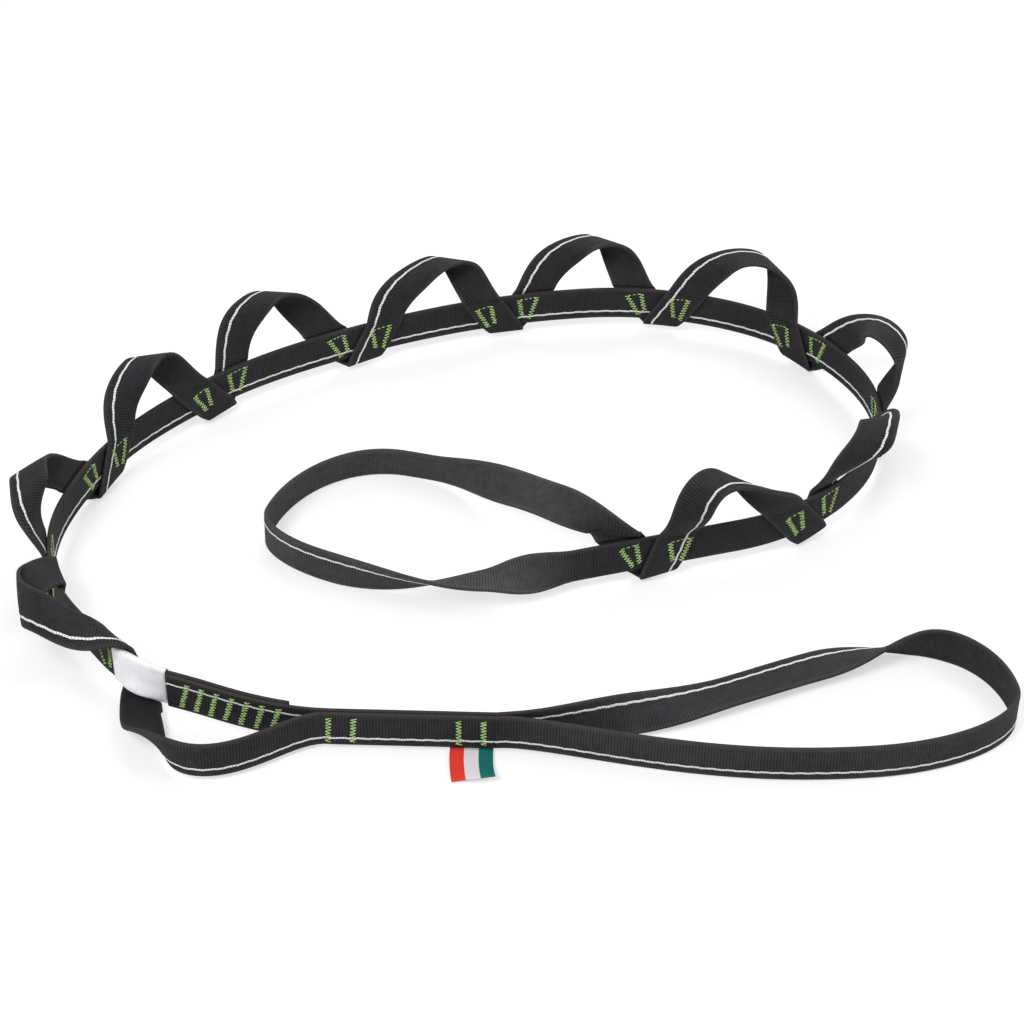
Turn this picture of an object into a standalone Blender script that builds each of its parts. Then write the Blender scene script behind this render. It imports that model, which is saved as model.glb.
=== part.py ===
"""A climbing daisy chain: one strip of webbing, laid as a spine with a row of twisted pockets sewn to it.

The strip starts in the splice, runs out as the end loop, comes back beside itself, makes the plain pocket,
then winds round its own other half in ten twisted pockets, turns back in the girth loop and returns
through all the pockets as the spine, back to the splice. Places along the chain are given as a distance
from the first stitching, places beside it as a distance to the right of the way the strip winds.
"""

import math

import bmesh
import bpy
from mathutils import Vector

MM = 0.001

# The webbing
WEB_WIDTH = 18.0 * MM
WEB_THICKNESS = 2.0 * MM
PLY_GAP = 0.3 * MM
PLY_PITCH = WEB_THICKNESS + PLY_GAP

# The sewn chain, measured along the spine
POCKET_COUNT = 10
POCKET_PITCH = 80.0 * MM
TACK_SPAN = 55.0 * MM
TACK_MARGIN = 8.0 * MM
SPLICE_START = 77.0 * MM
SPLICE_END = 131.0 * MM
FIRST_FOLD = 147.0 * MM
SECOND_FOLD = 234.0 * MM

# The strand that winds round the spine: its angle to each crease, and how far each crease dips as it goes on
STRAND_ANGLES_DEG = (56, 66, 53, 61, 56, 57, 57, 57, 62, 61, 62)
CREASE_DIPS_DEG = (0, -8, -8, -8, -5, 1, 0, 7, 8, 8, 8)

# The arched pockets
CREST_HEIGHT = 27.0 * MM
CREST_ADVANCES = tuple(advance * MM for advance in (5, -3, 4, -2, 8, 5, 5, 13, 1, 12))
CREST_RISES = tuple(rise * MM for rise in (-6, -4, -3, 2, -4, -2, -2, 1, -4, 4))
CREST_SIDE = 7.0 * MM
CREST_TURN_DEG = 22
CREST_PITCH_DEG = -7
CREST_REACH = 15.0 * MM
RISING_REACH = 10.0 * MM
RISING_BULGE = 6.0 * MM
FALLING_REACH = 16.0 * MM
FALLING_BULGE = 12.0 * MM
ROW_TURN_DEG = -52
ROW_PITCH_DEG = 7
HINGE_GAP = 1.2 * MM

# Heights of the spine's lower edge above the ground
DOUBLE_LIFT = 1.6 * MM
SPINE_LIFT = 6.5 * MM

# The end loop
END_LOOP_LENGTH = 222.0 * MM
END_LOOP_FAR_BULGE = 40.0 * MM
END_LOOP_NEAR_BULGE = 30.0 * MM
END_HINGE_SETBACK = 10.0 * MM
LOOP_HINGE_GAP = 1.1 * MM
JOIN_GAP = 0.3 * MM

# The girth loop
GIRTH_LOOP_LENGTH = 154.0 * MM
GIRTH_LOOP_FAR_BULGE = 59.0 * MM
GIRTH_LOOP_NEAR_BULGE = 26.0 * MM
GIRTH_LOOP_SETBACK = 31.0 * MM
GIRTH_HINGE_SETBACK = 30.0 * MM
GIRTH_FOOT_GAP = 2.0 * MM

# The plain pocket
PLAIN_SETBACK = 4.0 * MM

# The label sleeve round the spine
LABEL_LENGTH = 29.0 * MM
LABEL_THICKNESS = 0.3 * MM
LABEL_GAP = 0.3 * MM
LABEL_FLARE = 4.0 * MM
LABEL_START = 132.0 * MM

# The coloured tab sewn in at the first stitching
TAB_WIDTH = 18.4 * MM
TAB_LENGTH = 18.0 * MM
TAB_THICKNESS = 0.6 * MM
TAB_GAP = 0.3 * MM
TAB_HINGE_GAP = 0.5 * MM
TAB_CURL = 4.0 * MM
TAB_SKEW = 1.7 * MM
TAB_SEAM = 2 * PLY_PITCH - PLY_GAP
TAB_ROOT = -2 * PLY_PITCH - WEB_THICKNESS / 2
TAB_HEIGHT = DOUBLE_LIFT - TAB_GAP - TAB_THICKNESS / 2

# The stitching
THREAD_RADIUS = 0.35 * MM
THREAD_GAP = 0.3 * MM
THREAD_STEP = 1.4 * MM
BAR_WIDTH = 3.0 * MM
STITCH_PITCH = 2.2 * MM
TACK_SPACING = 10.5 * MM
SPLICE_BARS = 7
SPLICE_BAR_SPACING = 6.7 * MM
SPLICE_FIRST_BAR = 82.5 * MM
LABEL_TACK_GAP = 0.6 * MM
BAR_LOW_SHARE = 0.2
BAR_HIGH_SHARE = 0.85

# How the chain lies: the first heading, then each bend as its start along the spine, its length and turn
FIRST_HEADING_DEG = 178
SPLICE_BEND = (63.0 * MM, 45.0 * MM, -17)
LABEL_BEND = (128.0 * MM, 45.0 * MM, -34)
FOLD_TURNS_DEG = (-49, -28, -19, -11, -14, -30, -41, -57, -42)
POCKET_LEANS_DEG = (-50, -6, 0, 0, 0, 0, 0, 0, 0, 0, 0)
END_LOOP_TURN_DEG = -7
GIRTH_LOOP_TURN_DEG = -30

# Shapes of the loops, as shares of their length and bulge
END_FAR_SHARES = (0.38, 0.60, 0.85)
END_NEAR_SHARES = (0.10, 0.35, 0.70)
GIRTH_NEAR_SHARES = (0.20, 0.35, 0.60)
ROUND_SHARE = 0.55
LEAST_WIDTH_SHARE = 0.4

# Each roll of a loop: where it starts and how far it runs, as shares of the loop, and its turn
END_ROLL_SHARES = ((0.02, 0.20), (0.30, 0.13))
END_ROLLS_DEG = (-90, -90)
GIRTH_ROLL_SHARES = ((0.0, 0.13), (0.14, 0.16), (0.42, 0.20), (0.68, 0.24), (0.87, 0.11))
GIRTH_ROLLS_DEG = (55, -67, 12, 90, 90)
LOOP_DROOP = 3.0 * MM
HELD_SHARE = 0.25
GIRTH_FAR_SHARES = (0.12, 0.34, 0.68)
PLAIN_POCKET_SHARES = ((0.14, 0.03), (0.26, 0.33), (0.50, 0.40), (0.75, 0.47))
PLAIN_HANDLE_SHARE = 0.17
PLAIN_SETTLE_SHARE = 0.55
FAN_SHARE = 0.12

# The four stitched bars at a fold, as shares of the webbing's width: place and height of top and foot
BAR_SHARES = (
    (-0.90, 0.72, -0.62, 0.20),
    (-0.46, 0.76, -0.37, 0.34),
    (0.33, 0.76, 0.40, 0.34),
    (0.84, 0.80, 0.64, 0.22),
)

# Fineness of the meshes
SPINE_STEP = 7.0 * MM
LOOP_STEP = 9.0 * MM
POCKET_STEPS = 18
CREASE_STEPS = 3
SIDE_STEPS = 2
STRAND_STEPS_ACROSS = 3
LOOP_STEPS_ACROSS = 2
CURVE_STEPS = 24
LABEL_STEPS = 6
TAB_STEPS = 4

UP = Vector((0.0, 0.0, 1.0))


def smooth(share):
    """Ease from 0 to 1, flat at both ends."""
    share = min(max(share, 0.0), 1.0)
    return share * share * (3.0 - 2.0 * share)


def spread(start, end, steps):
    """Evenly spaced marks from start to end."""
    return [start + (end - start) * step / steps for step in range(steps + 1)]


def clear_scene():
    """Remove every object, so that the part stands alone."""
    for item in list(bpy.data.objects):
        bpy.data.objects.remove(item, do_unlink=True)


class Polyline:
    """A curve kept as close points, read by the distance along it."""

    def __init__(self, points):
        self.points = [Vector(point) for point in points]
        self.marks = [0.0]
        for before, after in zip(self.points, self.points[1:]):
            self.marks.append(self.marks[-1] + (after - before).length)
        self.length = self.marks[-1]

    def at(self, distance):
        """The point this far along, on a straight line beyond either end."""
        last = len(self.points) - 2
        index = 0
        while index < last and self.marks[index + 1] < distance:
            index += 1
        span = self.marks[index + 1] - self.marks[index]
        share = (distance - self.marks[index]) / span
        return self.points[index].lerp(self.points[index + 1], share)

    def direction(self, distance):
        """The unit direction of travel there."""
        reach = self.length / len(self.points)
        return (self.at(distance + reach) - self.at(distance - reach)).normalized()


def bezier(start, handle_a, handle_b, end, steps=CURVE_STEPS):
    """Points of a cubic Bezier curve, with both ends."""
    points = []
    for step in range(steps + 1):
        t = step / steps
        s = 1.0 - t
        points.append(start * s**3 + handle_a * (3 * s * s * t) + handle_b * (3 * s * t * t) + end * t**3)
    return points


def drop_half(length, bulge, shares):
    """Half of a drop-shaped loop, from its root at the origin to its tip: straight out, wide, then round."""
    leave, reach, wide = (share * length for share in shares)
    rounding = wide + ROUND_SHARE * (length - wide)
    out = bezier(Vector((0, 0)), Vector((leave, 0)), Vector((reach, bulge)), Vector((wide, bulge)))
    turn = Vector((length, ROUND_SHARE * bulge))
    over = bezier(Vector((wide, bulge)), Vector((rounding, bulge)), turn, Vector((length, 0)))
    return out + over[1:]


def bends():
    """Every bend of the spine in order: where it starts, its length and its turn in radians."""
    found = [SPLICE_BEND, LABEL_BEND]
    for number, turn in enumerate(FOLD_TURNS_DEG, start=1):
        found.append((SECOND_FOLD + (number - 1.5) * POCKET_PITCH, POCKET_PITCH, turn))
    return [(start, length, math.radians(turn)) for start, length, turn in found]


def heading(along):
    """The spine's heading at a place along it, in radians from +X."""
    angle = math.radians(FIRST_HEADING_DEG)
    for start, length, turn in bends():
        angle += turn * min(max((along - start) / length, 0.0), 1.0)
    return angle


def lay_spine():
    """The spine's route in plan, from the first stitching to the girth loop."""
    end = SECOND_FOLD + (POCKET_COUNT - 0.5) * POCKET_PITCH
    step = WEB_THICKNESS
    point = Vector((0.0, 0.0))
    points = [point]
    for number in range(math.ceil(end / step)):
        middle = heading((number + 0.5) * step)
        point = point + step * Vector((math.cos(middle), math.sin(middle)))
        points.append(point)
    return Polyline(points)


SPINE = lay_spine()
FOLDS = [FIRST_FOLD] + [SECOND_FOLD + number * POCKET_PITCH for number in range(POCKET_COUNT)]


def forward(along):
    """The spine's unit direction, level."""
    angle = heading(along)
    return Vector((math.cos(angle), math.sin(angle), 0.0))


def rightward(along):
    """The level unit direction to the right of the spine."""
    return forward(along).cross(UP)


def beside(along, right, height):
    """The place that lies this far along the spine, to its right, and above the ground."""
    return SPINE.at(along).to_3d() + rightward(along) * right + UP * height


def lift(along):
    """The height of the spine's lower edge above the ground."""
    rise = smooth((along - TACK_SPAN) / (LABEL_START - TACK_SPAN))
    return DOUBLE_LIFT + (SPINE_LIFT - DOUBLE_LIFT) * rise


def crease_radius(fold):
    """How far the strand's middle stands off the spine at a fold; at the first it goes round the label."""
    if fold == 0:
        return WEB_THICKNESS / 2 + LABEL_GAP + LABEL_THICKNESS + PLY_GAP + WEB_THICKNESS / 2
    return PLY_PITCH


def pocket_side(pocket):
    """Which side of the spine a pocket is sewn to: 1 on the right, -1 on the left."""
    return 1 if pocket % 2 == 0 else -1


class Fold:
    """Where the strand passes under the spine, round a crease that dips a little as it goes along.

    The strand falls on the side of the pocket before, and rises on the side of the pocket that follows.
    """

    def __init__(self, number):
        self.number = number
        self.angle = math.radians(STRAND_ANGLES_DEG[number])
        self.side = pocket_side(number)
        self.dip = math.radians(CREASE_DIPS_DEG[number])
        self.radius = crease_radius(number)
        self.quarter = self.radius * math.pi / 2
        overhang = WEB_WIDTH / 2 / math.sin(self.angle) + self.quarter / math.tan(self.angle)
        self.drop = overhang * math.tan(abs(self.dip))

    def climb(self, sense):
        """The strand's angle to the level where it rises, sense 1, or falls, sense -1."""
        return self.angle - sense * self.dip

    def reach(self, sense, beyond=0.0):
        """How far along the strand its middle stands this far above the spine's upper edge."""
        rise = WEB_WIDTH + beyond + self.drop + self.quarter * math.cos(self.dip)
        return sense * rise / math.sin(self.climb(sense))

    def place(self, run, wrap):
        """The place along, right and up of a point at a distance along the crease and one round it."""
        if self.number == 0 and wrap < 0.0:
            return FOLDS[0] + run, wrap, SPINE_LIFT - self.radius
        bend = min(max(wrap / self.radius, -math.pi / 2), math.pi / 2)
        below = max(abs(wrap) - self.quarter, 0.0) - self.radius * math.cos(bend)
        along = FOLDS[self.number] + run * math.cos(self.dip) + below * math.sin(self.dip)
        up = SPINE_LIFT - self.drop - run * math.sin(self.dip) + below * math.cos(self.dip)
        return along, self.side * self.radius * math.sin(bend), up

    def local(self, mark, across):
        """The place of a point of the strand, by its mark along it from the crease's middle and across it.

        Rows of equal mark lie along the crease there, and level at the spine's upper edge.
        """
        slant = 1.0 / math.tan(self.angle)
        if self.number > 0 or mark > 0.0:
            sense = math.copysign(1.0, mark)
            turned = self.quarter / math.sin(self.angle)
            beyond = (abs(mark) - turned) / (abs(self.reach(sense)) - turned)
            level = 1.0 / math.tan(self.climb(sense))
            slant += (level - slant) * min(max(beyond, 0.0), 1.0)
        mark -= slant * across
        run = mark * math.cos(self.angle) - across * math.sin(self.angle)
        wrap = mark * math.sin(self.angle) + across * math.cos(self.angle)
        return self.place(run, wrap)

    def at(self, mark, across):
        """The same point in space."""
        return beside(*self.local(mark, across))

    def marks(self):
        """The rows of a fold piece: one sewn side, the crease under the spine, and the other sewn side."""
        turned = self.quarter / math.sin(self.angle)
        rising = spread(0.0, turned, CREASE_STEPS) + spread(turned, self.reach(1), SIDE_STEPS)[1:]
        if self.number == 0:
            return spread(-PLAIN_SETBACK / math.sin(self.angle), 0.0, SIDE_STEPS) + rising[1:]
        falling = spread(self.reach(-1), -turned, SIDE_STEPS) + spread(-turned, 0.0, CREASE_STEPS)[1:]
        return falling + rising[1:]


CREASES = [Fold(number) for number in range(POCKET_COUNT + 1)]


class FreeStrap:
    """A length of webbing that follows a route of its own, rolled about it by an angle.

    The slant leans its rows back, by this much of their place across.
    """

    def __init__(self, points, roll, slant):
        self.route = Polyline(points)
        self.roll = roll
        self.slant = slant

    def at(self, mark, across):
        """The point at a distance along the route and a place across the strip."""
        share = mark / self.route.length
        ahead = self.route.direction(mark)
        right = ahead.cross(UP).normalized()
        edge = right.cross(ahead) * math.cos(self.roll(share)) + right * math.sin(self.roll(share))
        return self.route.at(mark) + edge * across - ahead * (self.slant(share) * across)


def aimed(turn_deg, pitch_deg):
    """A unit direction along, left and up: turned to the left of the spine, and pitched up."""
    turn, pitch = math.radians(turn_deg), math.radians(pitch_deg)
    return Vector((math.cos(turn) * math.cos(pitch), math.sin(turn) * math.cos(pitch), math.sin(pitch)))


class Pocket:
    """An arched pocket, from the spine's upper edge at one fold to the same at the next.

    It is laid out along a straight spine, as places along, left and up, and then bent to the spine's curve.
    Its rows lie along the spine at both feet and turn away from it at the crest.
    """

    def __init__(self, number):
        first, last = CREASES[number], CREASES[number + 1]
        self.lean = math.radians(POCKET_LEANS_DEG[number])
        start, end = self.foot(first, 1), self.foot(last, -1)
        rising, falling = first.climb(1), last.climb(-1)
        away = Vector((math.cos(rising), 0.0, math.sin(rising)))
        home = Vector((math.cos(falling), 0.0, -math.sin(falling)))
        top = SPINE_LIFT + WEB_WIDTH + CREST_HEIGHT + CREST_RISES[number]
        crest = Vector(((start.x + end.x) / 2 + CREST_ADVANCES[number], CREST_SIDE, top))
        over = aimed(CREST_TURN_DEG, CREST_PITCH_DEG) * CREST_REACH
        outward = Vector((0.0, 1.0, 0.0))
        up = bezier(start, start + away * RISING_REACH + outward * RISING_BULGE, crest - over, crest)
        down = bezier(crest, crest + over, end - home * FALLING_REACH + outward * FALLING_BULGE, end)
        self.route = Polyline(up + down[1:])
        self.crest_row = aimed(ROW_TURN_DEG, ROW_PITCH_DEG)

    @staticmethod
    def foot(fold, sense):
        """The middle of the strand a hinge gap above the spine's upper edge, along, left and up."""
        along, right, up = fold.local(fold.reach(sense, HINGE_GAP), 0.0)
        return Vector((along, -right, up))

    def laid(self, mark, across):
        """The place along, left and up of a point, before the pocket leans."""
        share = mark / self.route.length
        row = Vector((1.0, 0.0, 0.0)).lerp(self.crest_row, smooth(1.0 - abs(2.0 * share - 1.0))).normalized()
        width = row.cross(self.route.direction(mark)).length
        return self.route.at(mark) - row * (across / max(width, LEAST_WIDTH_SHARE))

    def at(self, mark, across):
        """The point at a distance along the route and a place across the strip, in space."""
        point = self.laid(mark, across)
        base = SPINE_LIFT + WEB_WIDTH
        angle = self.lean * smooth(2 * (point.z - base) / CREST_HEIGHT)
        right = -point.y * math.cos(angle) + (point.z - base) * math.sin(angle)
        up = (point.z - base) * math.cos(angle) + point.y * math.sin(angle)
        return beside(point.x, right, base + up)


def no_slant(share):
    """The ends of a strap are cut square."""
    return 0.0


def turned_level(direction, degrees):
    """A level direction turned about the vertical, to the left."""
    angle = math.radians(degrees)
    return direction * math.cos(angle) + UP.cross(direction) * math.sin(angle)


def rolled(share, roll_shares, turns):
    """The sum of a strap's rolls up to a share of its length, in radians."""
    rolls = zip(roll_shares, turns)
    return sum(math.radians(turn) * smooth((share - start) / run) for (start, run), turn in rolls)


def end_loop_strap():
    """The end loop: out beside the near strand, a half turn, round the tip and back."""

    def roll(share):
        return rolled(share, END_ROLL_SHARES, END_ROLLS_DEG)

    root = -END_HINGE_SETBACK - LOOP_HINGE_GAP / 2
    start = beside(root, -PLY_PITCH, 0.0)
    ahead = turned_level(-forward(root), -END_LOOP_TURN_DEG)
    left = UP.cross(ahead)
    far = drop_half(END_LOOP_LENGTH, END_LOOP_FAR_BULGE, END_FAR_SHARES)
    near = drop_half(END_LOOP_LENGTH, END_LOOP_NEAR_BULGE, END_NEAR_SHARES)
    plan = Polyline([(point.x, point.y) for point in far] + [(point.x, -point.y) for point in near[-2::-1]])
    points = []
    for point, mark in zip(plan.points, plan.marks):
        share = mark / plan.length
        held = 1.0 - smooth(share / HELD_SHARE) * smooth((1.0 - share) / HELD_SHARE)
        height = WEB_WIDTH / 2 + DOUBLE_LIFT * held - LOOP_DROOP * math.sin(roll(share)) ** 2
        points.append(start + ahead * point.x + left * (point.y - PLY_PITCH * smooth(share)) + UP * height)
    return FreeStrap(points, roll, no_slant)


def girth_loop_strap():
    """The girth loop: up from the last fold, over and down to the ground, round the tip and home."""

    def roll(share):
        return rolled(share, GIRTH_ROLL_SHARES, GIRTH_ROLLS_DEG)

    fold = FOLDS[-1]
    angle = CREASES[-1].climb(1)
    climb = forward(fold) * math.cos(angle) + UP * math.sin(angle)
    foot = CREASES[-1].at(CREASES[-1].reach(1, GIRTH_FOOT_GAP), 0.0)
    root = beside(fold + GIRTH_LOOP_SETBACK, 0.0, WEB_WIDTH / 2)
    ahead = turned_level(forward(fold), GIRTH_LOOP_TURN_DEG)
    right = ahead.cross(UP)
    tip = root + ahead * GIRTH_LOOP_LENGTH

    leave, reach, wide = (share * GIRTH_LOOP_LENGTH for share in GIRTH_FAR_SHARES)
    rounding = wide + ROUND_SHARE * (GIRTH_LOOP_LENGTH - wide)
    bulge = right * GIRTH_LOOP_FAR_BULGE
    widest = root + ahead * wide + bulge
    out = bezier(foot, foot + climb * leave, root + ahead * reach + bulge, widest)
    over = bezier(widest, root + ahead * rounding + bulge, tip + bulge * ROUND_SHARE, tip)

    home = beside(fold + GIRTH_HINGE_SETBACK + LOOP_HINGE_GAP / 2, 0.0, SPINE_LIFT + WEB_WIDTH / 2)
    leave, reach, wide = (share * GIRTH_LOOP_LENGTH for share in GIRTH_NEAR_SHARES)
    rounding = wide + ROUND_SHARE * (GIRTH_LOOP_LENGTH - wide)
    bulge = -right * GIRTH_LOOP_NEAR_BULGE
    widest = root + ahead * wide + bulge
    back = bezier(tip, tip + bulge * ROUND_SHARE, root + ahead * rounding + bulge, widest)
    last = bezier(widest, root + ahead * reach + bulge, home + forward(fold) * leave, home)

    def slant(share):
        return (1.0 - smooth(share / FAN_SHARE)) / math.tan(angle)

    return FreeStrap(out + over[1:] + back[1:] + last[1:], roll, slant)


def plain_pocket_strap():
    """The plain pocket: bulges out to the left of the spine, then lies down to pass under it."""

    def roll(share):
        settled = smooth((share - PLAIN_SETTLE_SHARE) / (1.0 - PLAIN_SETTLE_SHARE - FAN_SHARE / 2))
        return -math.pi * (1.0 + settled / 2)

    start = beside(TACK_SPAN + TACK_MARGIN + JOIN_GAP, -2 * PLY_PITCH, 0.0)
    angle = CREASES[0].angle
    end = CREASES[0].at(-(PLAIN_SETBACK + JOIN_GAP) / math.sin(angle), 0.0)
    floor = end.z - WEB_THICKNESS / 2
    end.z = 0.0
    chord = end - start
    left = UP.cross(chord)
    leave, swell, middle, home = (start + chord * along + left * out for along, out in PLAIN_POCKET_SHARES)
    arrival = turned_level(forward(FOLDS[0]), -STRAND_ANGLES_DEG[0]) * (PLAIN_HANDLE_SHARE * chord.length)
    plan = Polyline(bezier(start, leave, swell, middle) + bezier(middle, home, end - arrival, end)[1:])
    points = []
    for point, mark in zip(plan.points, plan.marks):
        share = mark / plan.length
        upright = abs(math.cos(roll(share))) * WEB_WIDTH / 2
        flat = abs(math.sin(roll(share))) * WEB_THICKNESS / 2
        base = DOUBLE_LIFT + (floor - DOUBLE_LIFT) * smooth(share / PLAIN_SETTLE_SHARE)
        points.append(point + UP * (upright + flat + base))
    return FreeStrap(points, roll, lambda share: smooth((share - 1.0) / FAN_SHARE + 1.0) / math.tan(angle))


def pocket_hinge(pocket):
    """The axis that a pocket swings about: a point on it, by the spine's upper edge, and its direction."""
    rises, falls = CREASES[pocket], CREASES[pocket + 1]
    first = rises.at(rises.reach(1, HINGE_GAP / 2), 0.0)
    last = falls.at(falls.reach(-1, HINGE_GAP / 2), 0.0)
    return (first + last) / 2, (last - first).normalized()


def end_loop_hinge():
    """The upright axis that the end loop swings about, between its two strands."""
    return beside(-END_HINGE_SETBACK, -1.5 * PLY_PITCH, DOUBLE_LIFT + WEB_WIDTH / 2), UP


def girth_loop_hinge():
    """The upright axis that the girth loop swings about."""
    return beside(FOLDS[-1] + GIRTH_HINGE_SETBACK, 0.0, SPINE_LIFT + WEB_WIDTH / 2), UP


def tab_hinge():
    """The axis that the tab folds about, along the foot of the doubled strap."""
    return beside(0.0, TAB_ROOT - TAB_HINGE_GAP / 2, TAB_HEIGHT), forward(0.0)


def strand_edge(fold, sense, height):
    """How far from a fold's middle the edge nearer to it of the rising or falling strand crosses a height."""
    crease = CREASES[fold]
    along, _, up = crease.local(crease.reach(sense), sense * WEB_WIDTH / 2)
    return sense * (along - FOLDS[fold]) - (up - height) / math.tan(crease.climb(sense))


def bar_places(fold):
    """The stitched bars at a fold, each as its top and foot: place from the fold's middle and height.

    The feet of the two inner bars stand clear of the strand that is sewn to the other side.
    """
    shares = BAR_SHARES
    if fold >= POCKET_COUNT - 1:
        shares = [(-top, high, -foot, low) for top, high, foot, low in shares[::-1]]
    bars = []
    for top_share, high_share, foot_share, low_share in shares:
        high = SPINE_LIFT + high_share * WEB_WIDTH
        low = SPINE_LIFT + low_share * WEB_WIDTH
        sense = math.copysign(1.0, foot_share)
        reach = BAR_WIDTH / 2 + THREAD_RADIUS + THREAD_GAP - strand_edge(fold, -sense, low)
        foot = math.copysign(max(abs(foot_share) * WEB_WIDTH, reach), foot_share)
        top = foot + (top_share - foot_share) * WEB_WIDTH
        bars.append((Vector((top, high)), Vector((foot, low))))
    if fold == 0:
        clear = LABEL_START + LABEL_LENGTH + LABEL_TACK_GAP + BAR_WIDTH / 2 - FOLDS[0]
        shift = Vector((clear - bars[2][0].x, 0.0))
        return [(top + shift, foot + shift) for top, foot in bars[2:]]
    return bars


def zigzag(start, end):
    """The points of a zigzag from one end of a bar to the other."""
    run = end - start
    beside_run = Vector((-run.y, run.x)).normalized() * (BAR_WIDTH / 2 - THREAD_RADIUS)
    count = max(2, round(run.length / STITCH_PITCH))
    sides = [1 if number % 2 else -1 for number in range(count + 1)]
    return [start + run * number / count + beside_run * side for number, side in enumerate(sides)]


def stitch_line(bars):
    """One thread through every bar in turn, down the first and up the next."""
    groups = []
    for number, (top, foot) in enumerate(bars):
        groups.append(zigzag(top, foot) if number % 2 == 0 else zigzag(foot, top))
    return groups


def fold_stitching(fold, side):
    """The thread that shows on one side of a fold: on the spine, and on the strand sewn to that side."""
    on_spine = WEB_THICKNESS / 2 + THREAD_GAP + THREAD_RADIUS
    on_strand = crease_radius(fold) + on_spine
    groups = stitch_line(bar_places(fold))
    split = len(groups) - 2
    comes_down_here = fold > 0 and pocket_side(fold - 1) == side
    before = on_strand if comes_down_here else on_spine
    after = on_spine if comes_down_here or fold == 0 and side < 0 else on_strand
    points = []
    for group in groups[:split]:
        points += [(point.x, side * before, point.y) for point in group]
    if split:
        height = (groups[split - 1][-1].y + groups[split][0].y) / 2
        sense = -1 if comes_down_here else 1
        edge = strand_edge(fold, sense, height)
        steps = [(edge - THREAD_STEP, on_spine), (edge - THREAD_STEP / 3, on_strand)]
        points += [(sense * place, side * level, height) for place, level in steps[::sense]]
    for group in groups[split:]:
        points += [(point.x, side * after, point.y) for point in group]
    return [beside(FOLDS[fold] + along, right, up) for along, right, up in points]


def straight_bars(places, low_share, high_share):
    """Upright bars at these places along the doubled straps."""
    bars = []
    for along in places:
        foot = Vector((along, lift(along) + low_share * WEB_WIDTH))
        bars.append((foot + Vector((0.0, (high_share - low_share) * WEB_WIDTH)), foot))
    return bars


def straight_stitching(places, right):
    """The thread of some upright bars, laid at a distance to the right of the spine."""
    bars = straight_bars(places, BAR_LOW_SHARE, BAR_HIGH_SHARE)
    return [beside(point.x, right, point.y) for group in stitch_line(bars) for point in group]


def make_material(name, colour, roughness):
    """A plain finish."""
    material = bpy.data.materials.new(name)
    material.use_nodes = True
    shader = material.node_tree.nodes["Principled BSDF"]
    shader.inputs["Base Color"].default_value = (*colour, 1.0)
    shader.inputs["Roughness"].default_value = roughness
    shader.inputs["Metallic"].default_value = 0.0
    return material


class Bench:
    """Where the pieces are put: their collection, the empty that carries them all, and their finishes."""

    def __init__(self):
        self.parts = bpy.data.collections.new("daisy_chain")
        bpy.context.scene.collection.children.link(self.parts)
        self.chain = self.add_empty("chain", Vector((0.0, 0.0, 0.0)), None)
        self.webbing = make_material("webbing", (0.035, 0.036, 0.042), 0.8)
        self.thread = make_material("thread", (0.25, 0.45, 0.12), 0.6)
        self.label = make_material("label", (0.80, 0.78, 0.82), 0.5)
        self.tab = make_material("tab", (0.75, 0.72, 0.74), 0.7)

    def add_empty(self, name, place, parent):
        """An empty at a place; a moving piece hangs on one at its hinge."""
        empty = bpy.data.objects.new(name, None)
        empty.location = place
        empty.parent = parent
        self.parts.objects.link(empty)
        return empty

    def hinge(self, name, axis):
        """The empty of a hinge, at the point of its axis."""
        return self.add_empty(name, axis[0], self.chain)

    def add(self, name, data, material, carrier):
        """Put a mesh or a curve on what carries it."""
        item = bpy.data.objects.new(name, data)
        item.parent = carrier or self.chain
        data.materials.append(material)
        self.parts.objects.link(item)
        return item

    def sheet(self, name, rows, columns, place, thickness, material, carrier=None):
        """A flat sheet bent so that its grid point (row, column) lies at place(row, column), made thick."""
        origin = carrier.location if carrier else self.chain.location
        shape = bmesh.new()
        bmesh.ops.create_grid(shape, x_segments=rows, y_segments=columns, size=1.0)
        for vertex in shape.verts:
            row = round((vertex.co.x + 1.0) / 2 * rows)
            column = round((vertex.co.y + 1.0) / 2 * columns)
            vertex.co = place(row, column) - origin
        mesh = bpy.data.meshes.new(name)
        shape.to_mesh(mesh)
        shape.free()
        mesh.shade_smooth()
        item = self.add(name, mesh, material, carrier)
        solid = item.modifiers.new("Thickness", "SOLIDIFY")
        solid.thickness = thickness
        solid.offset = 0.0
        solid.use_even_offset = True
        return item

    def strap(self, name, marks, place, across_steps, carrier=None):
        """A length of webbing through place(mark, across) at each mark."""

        def corner(row, column):
            return place(marks[row], WEB_WIDTH * (column / across_steps - 0.5))

        return self.sheet(name, len(marks) - 1, across_steps, corner, WEB_THICKNESS, self.webbing, carrier)

    def stitch(self, name, points):
        """A thread as a round wire through the points."""
        curve = bpy.data.curves.new(name, "CURVE")
        curve.dimensions = "3D"
        spline = curve.splines.new("POLY")
        spline.points.add(len(points) - 1)
        for target, point in zip(spline.points, points):
            target.co = (*point, 1.0)
        curve.bevel_depth = THREAD_RADIUS
        curve.bevel_resolution = 0
        curve.use_fill_caps = True
        return self.add(name, curve, self.thread, None)


def even_marks(start, end, step):
    """Marks from start to end, about a step apart."""
    return spread(start, end, math.ceil(abs(end - start) / step))


def build_spine(bench):
    """The half of the strip that runs straight through every pocket."""
    end = FOLDS[-1] + GIRTH_HINGE_SETBACK - LOOP_HINGE_GAP / 2

    def place(mark, across):
        return beside(mark, 0.0, lift(mark) + WEB_WIDTH / 2 - across)

    bench.strap("spine_strap", even_marks(SPLICE_START, end, SPINE_STEP), place, 1)


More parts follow.
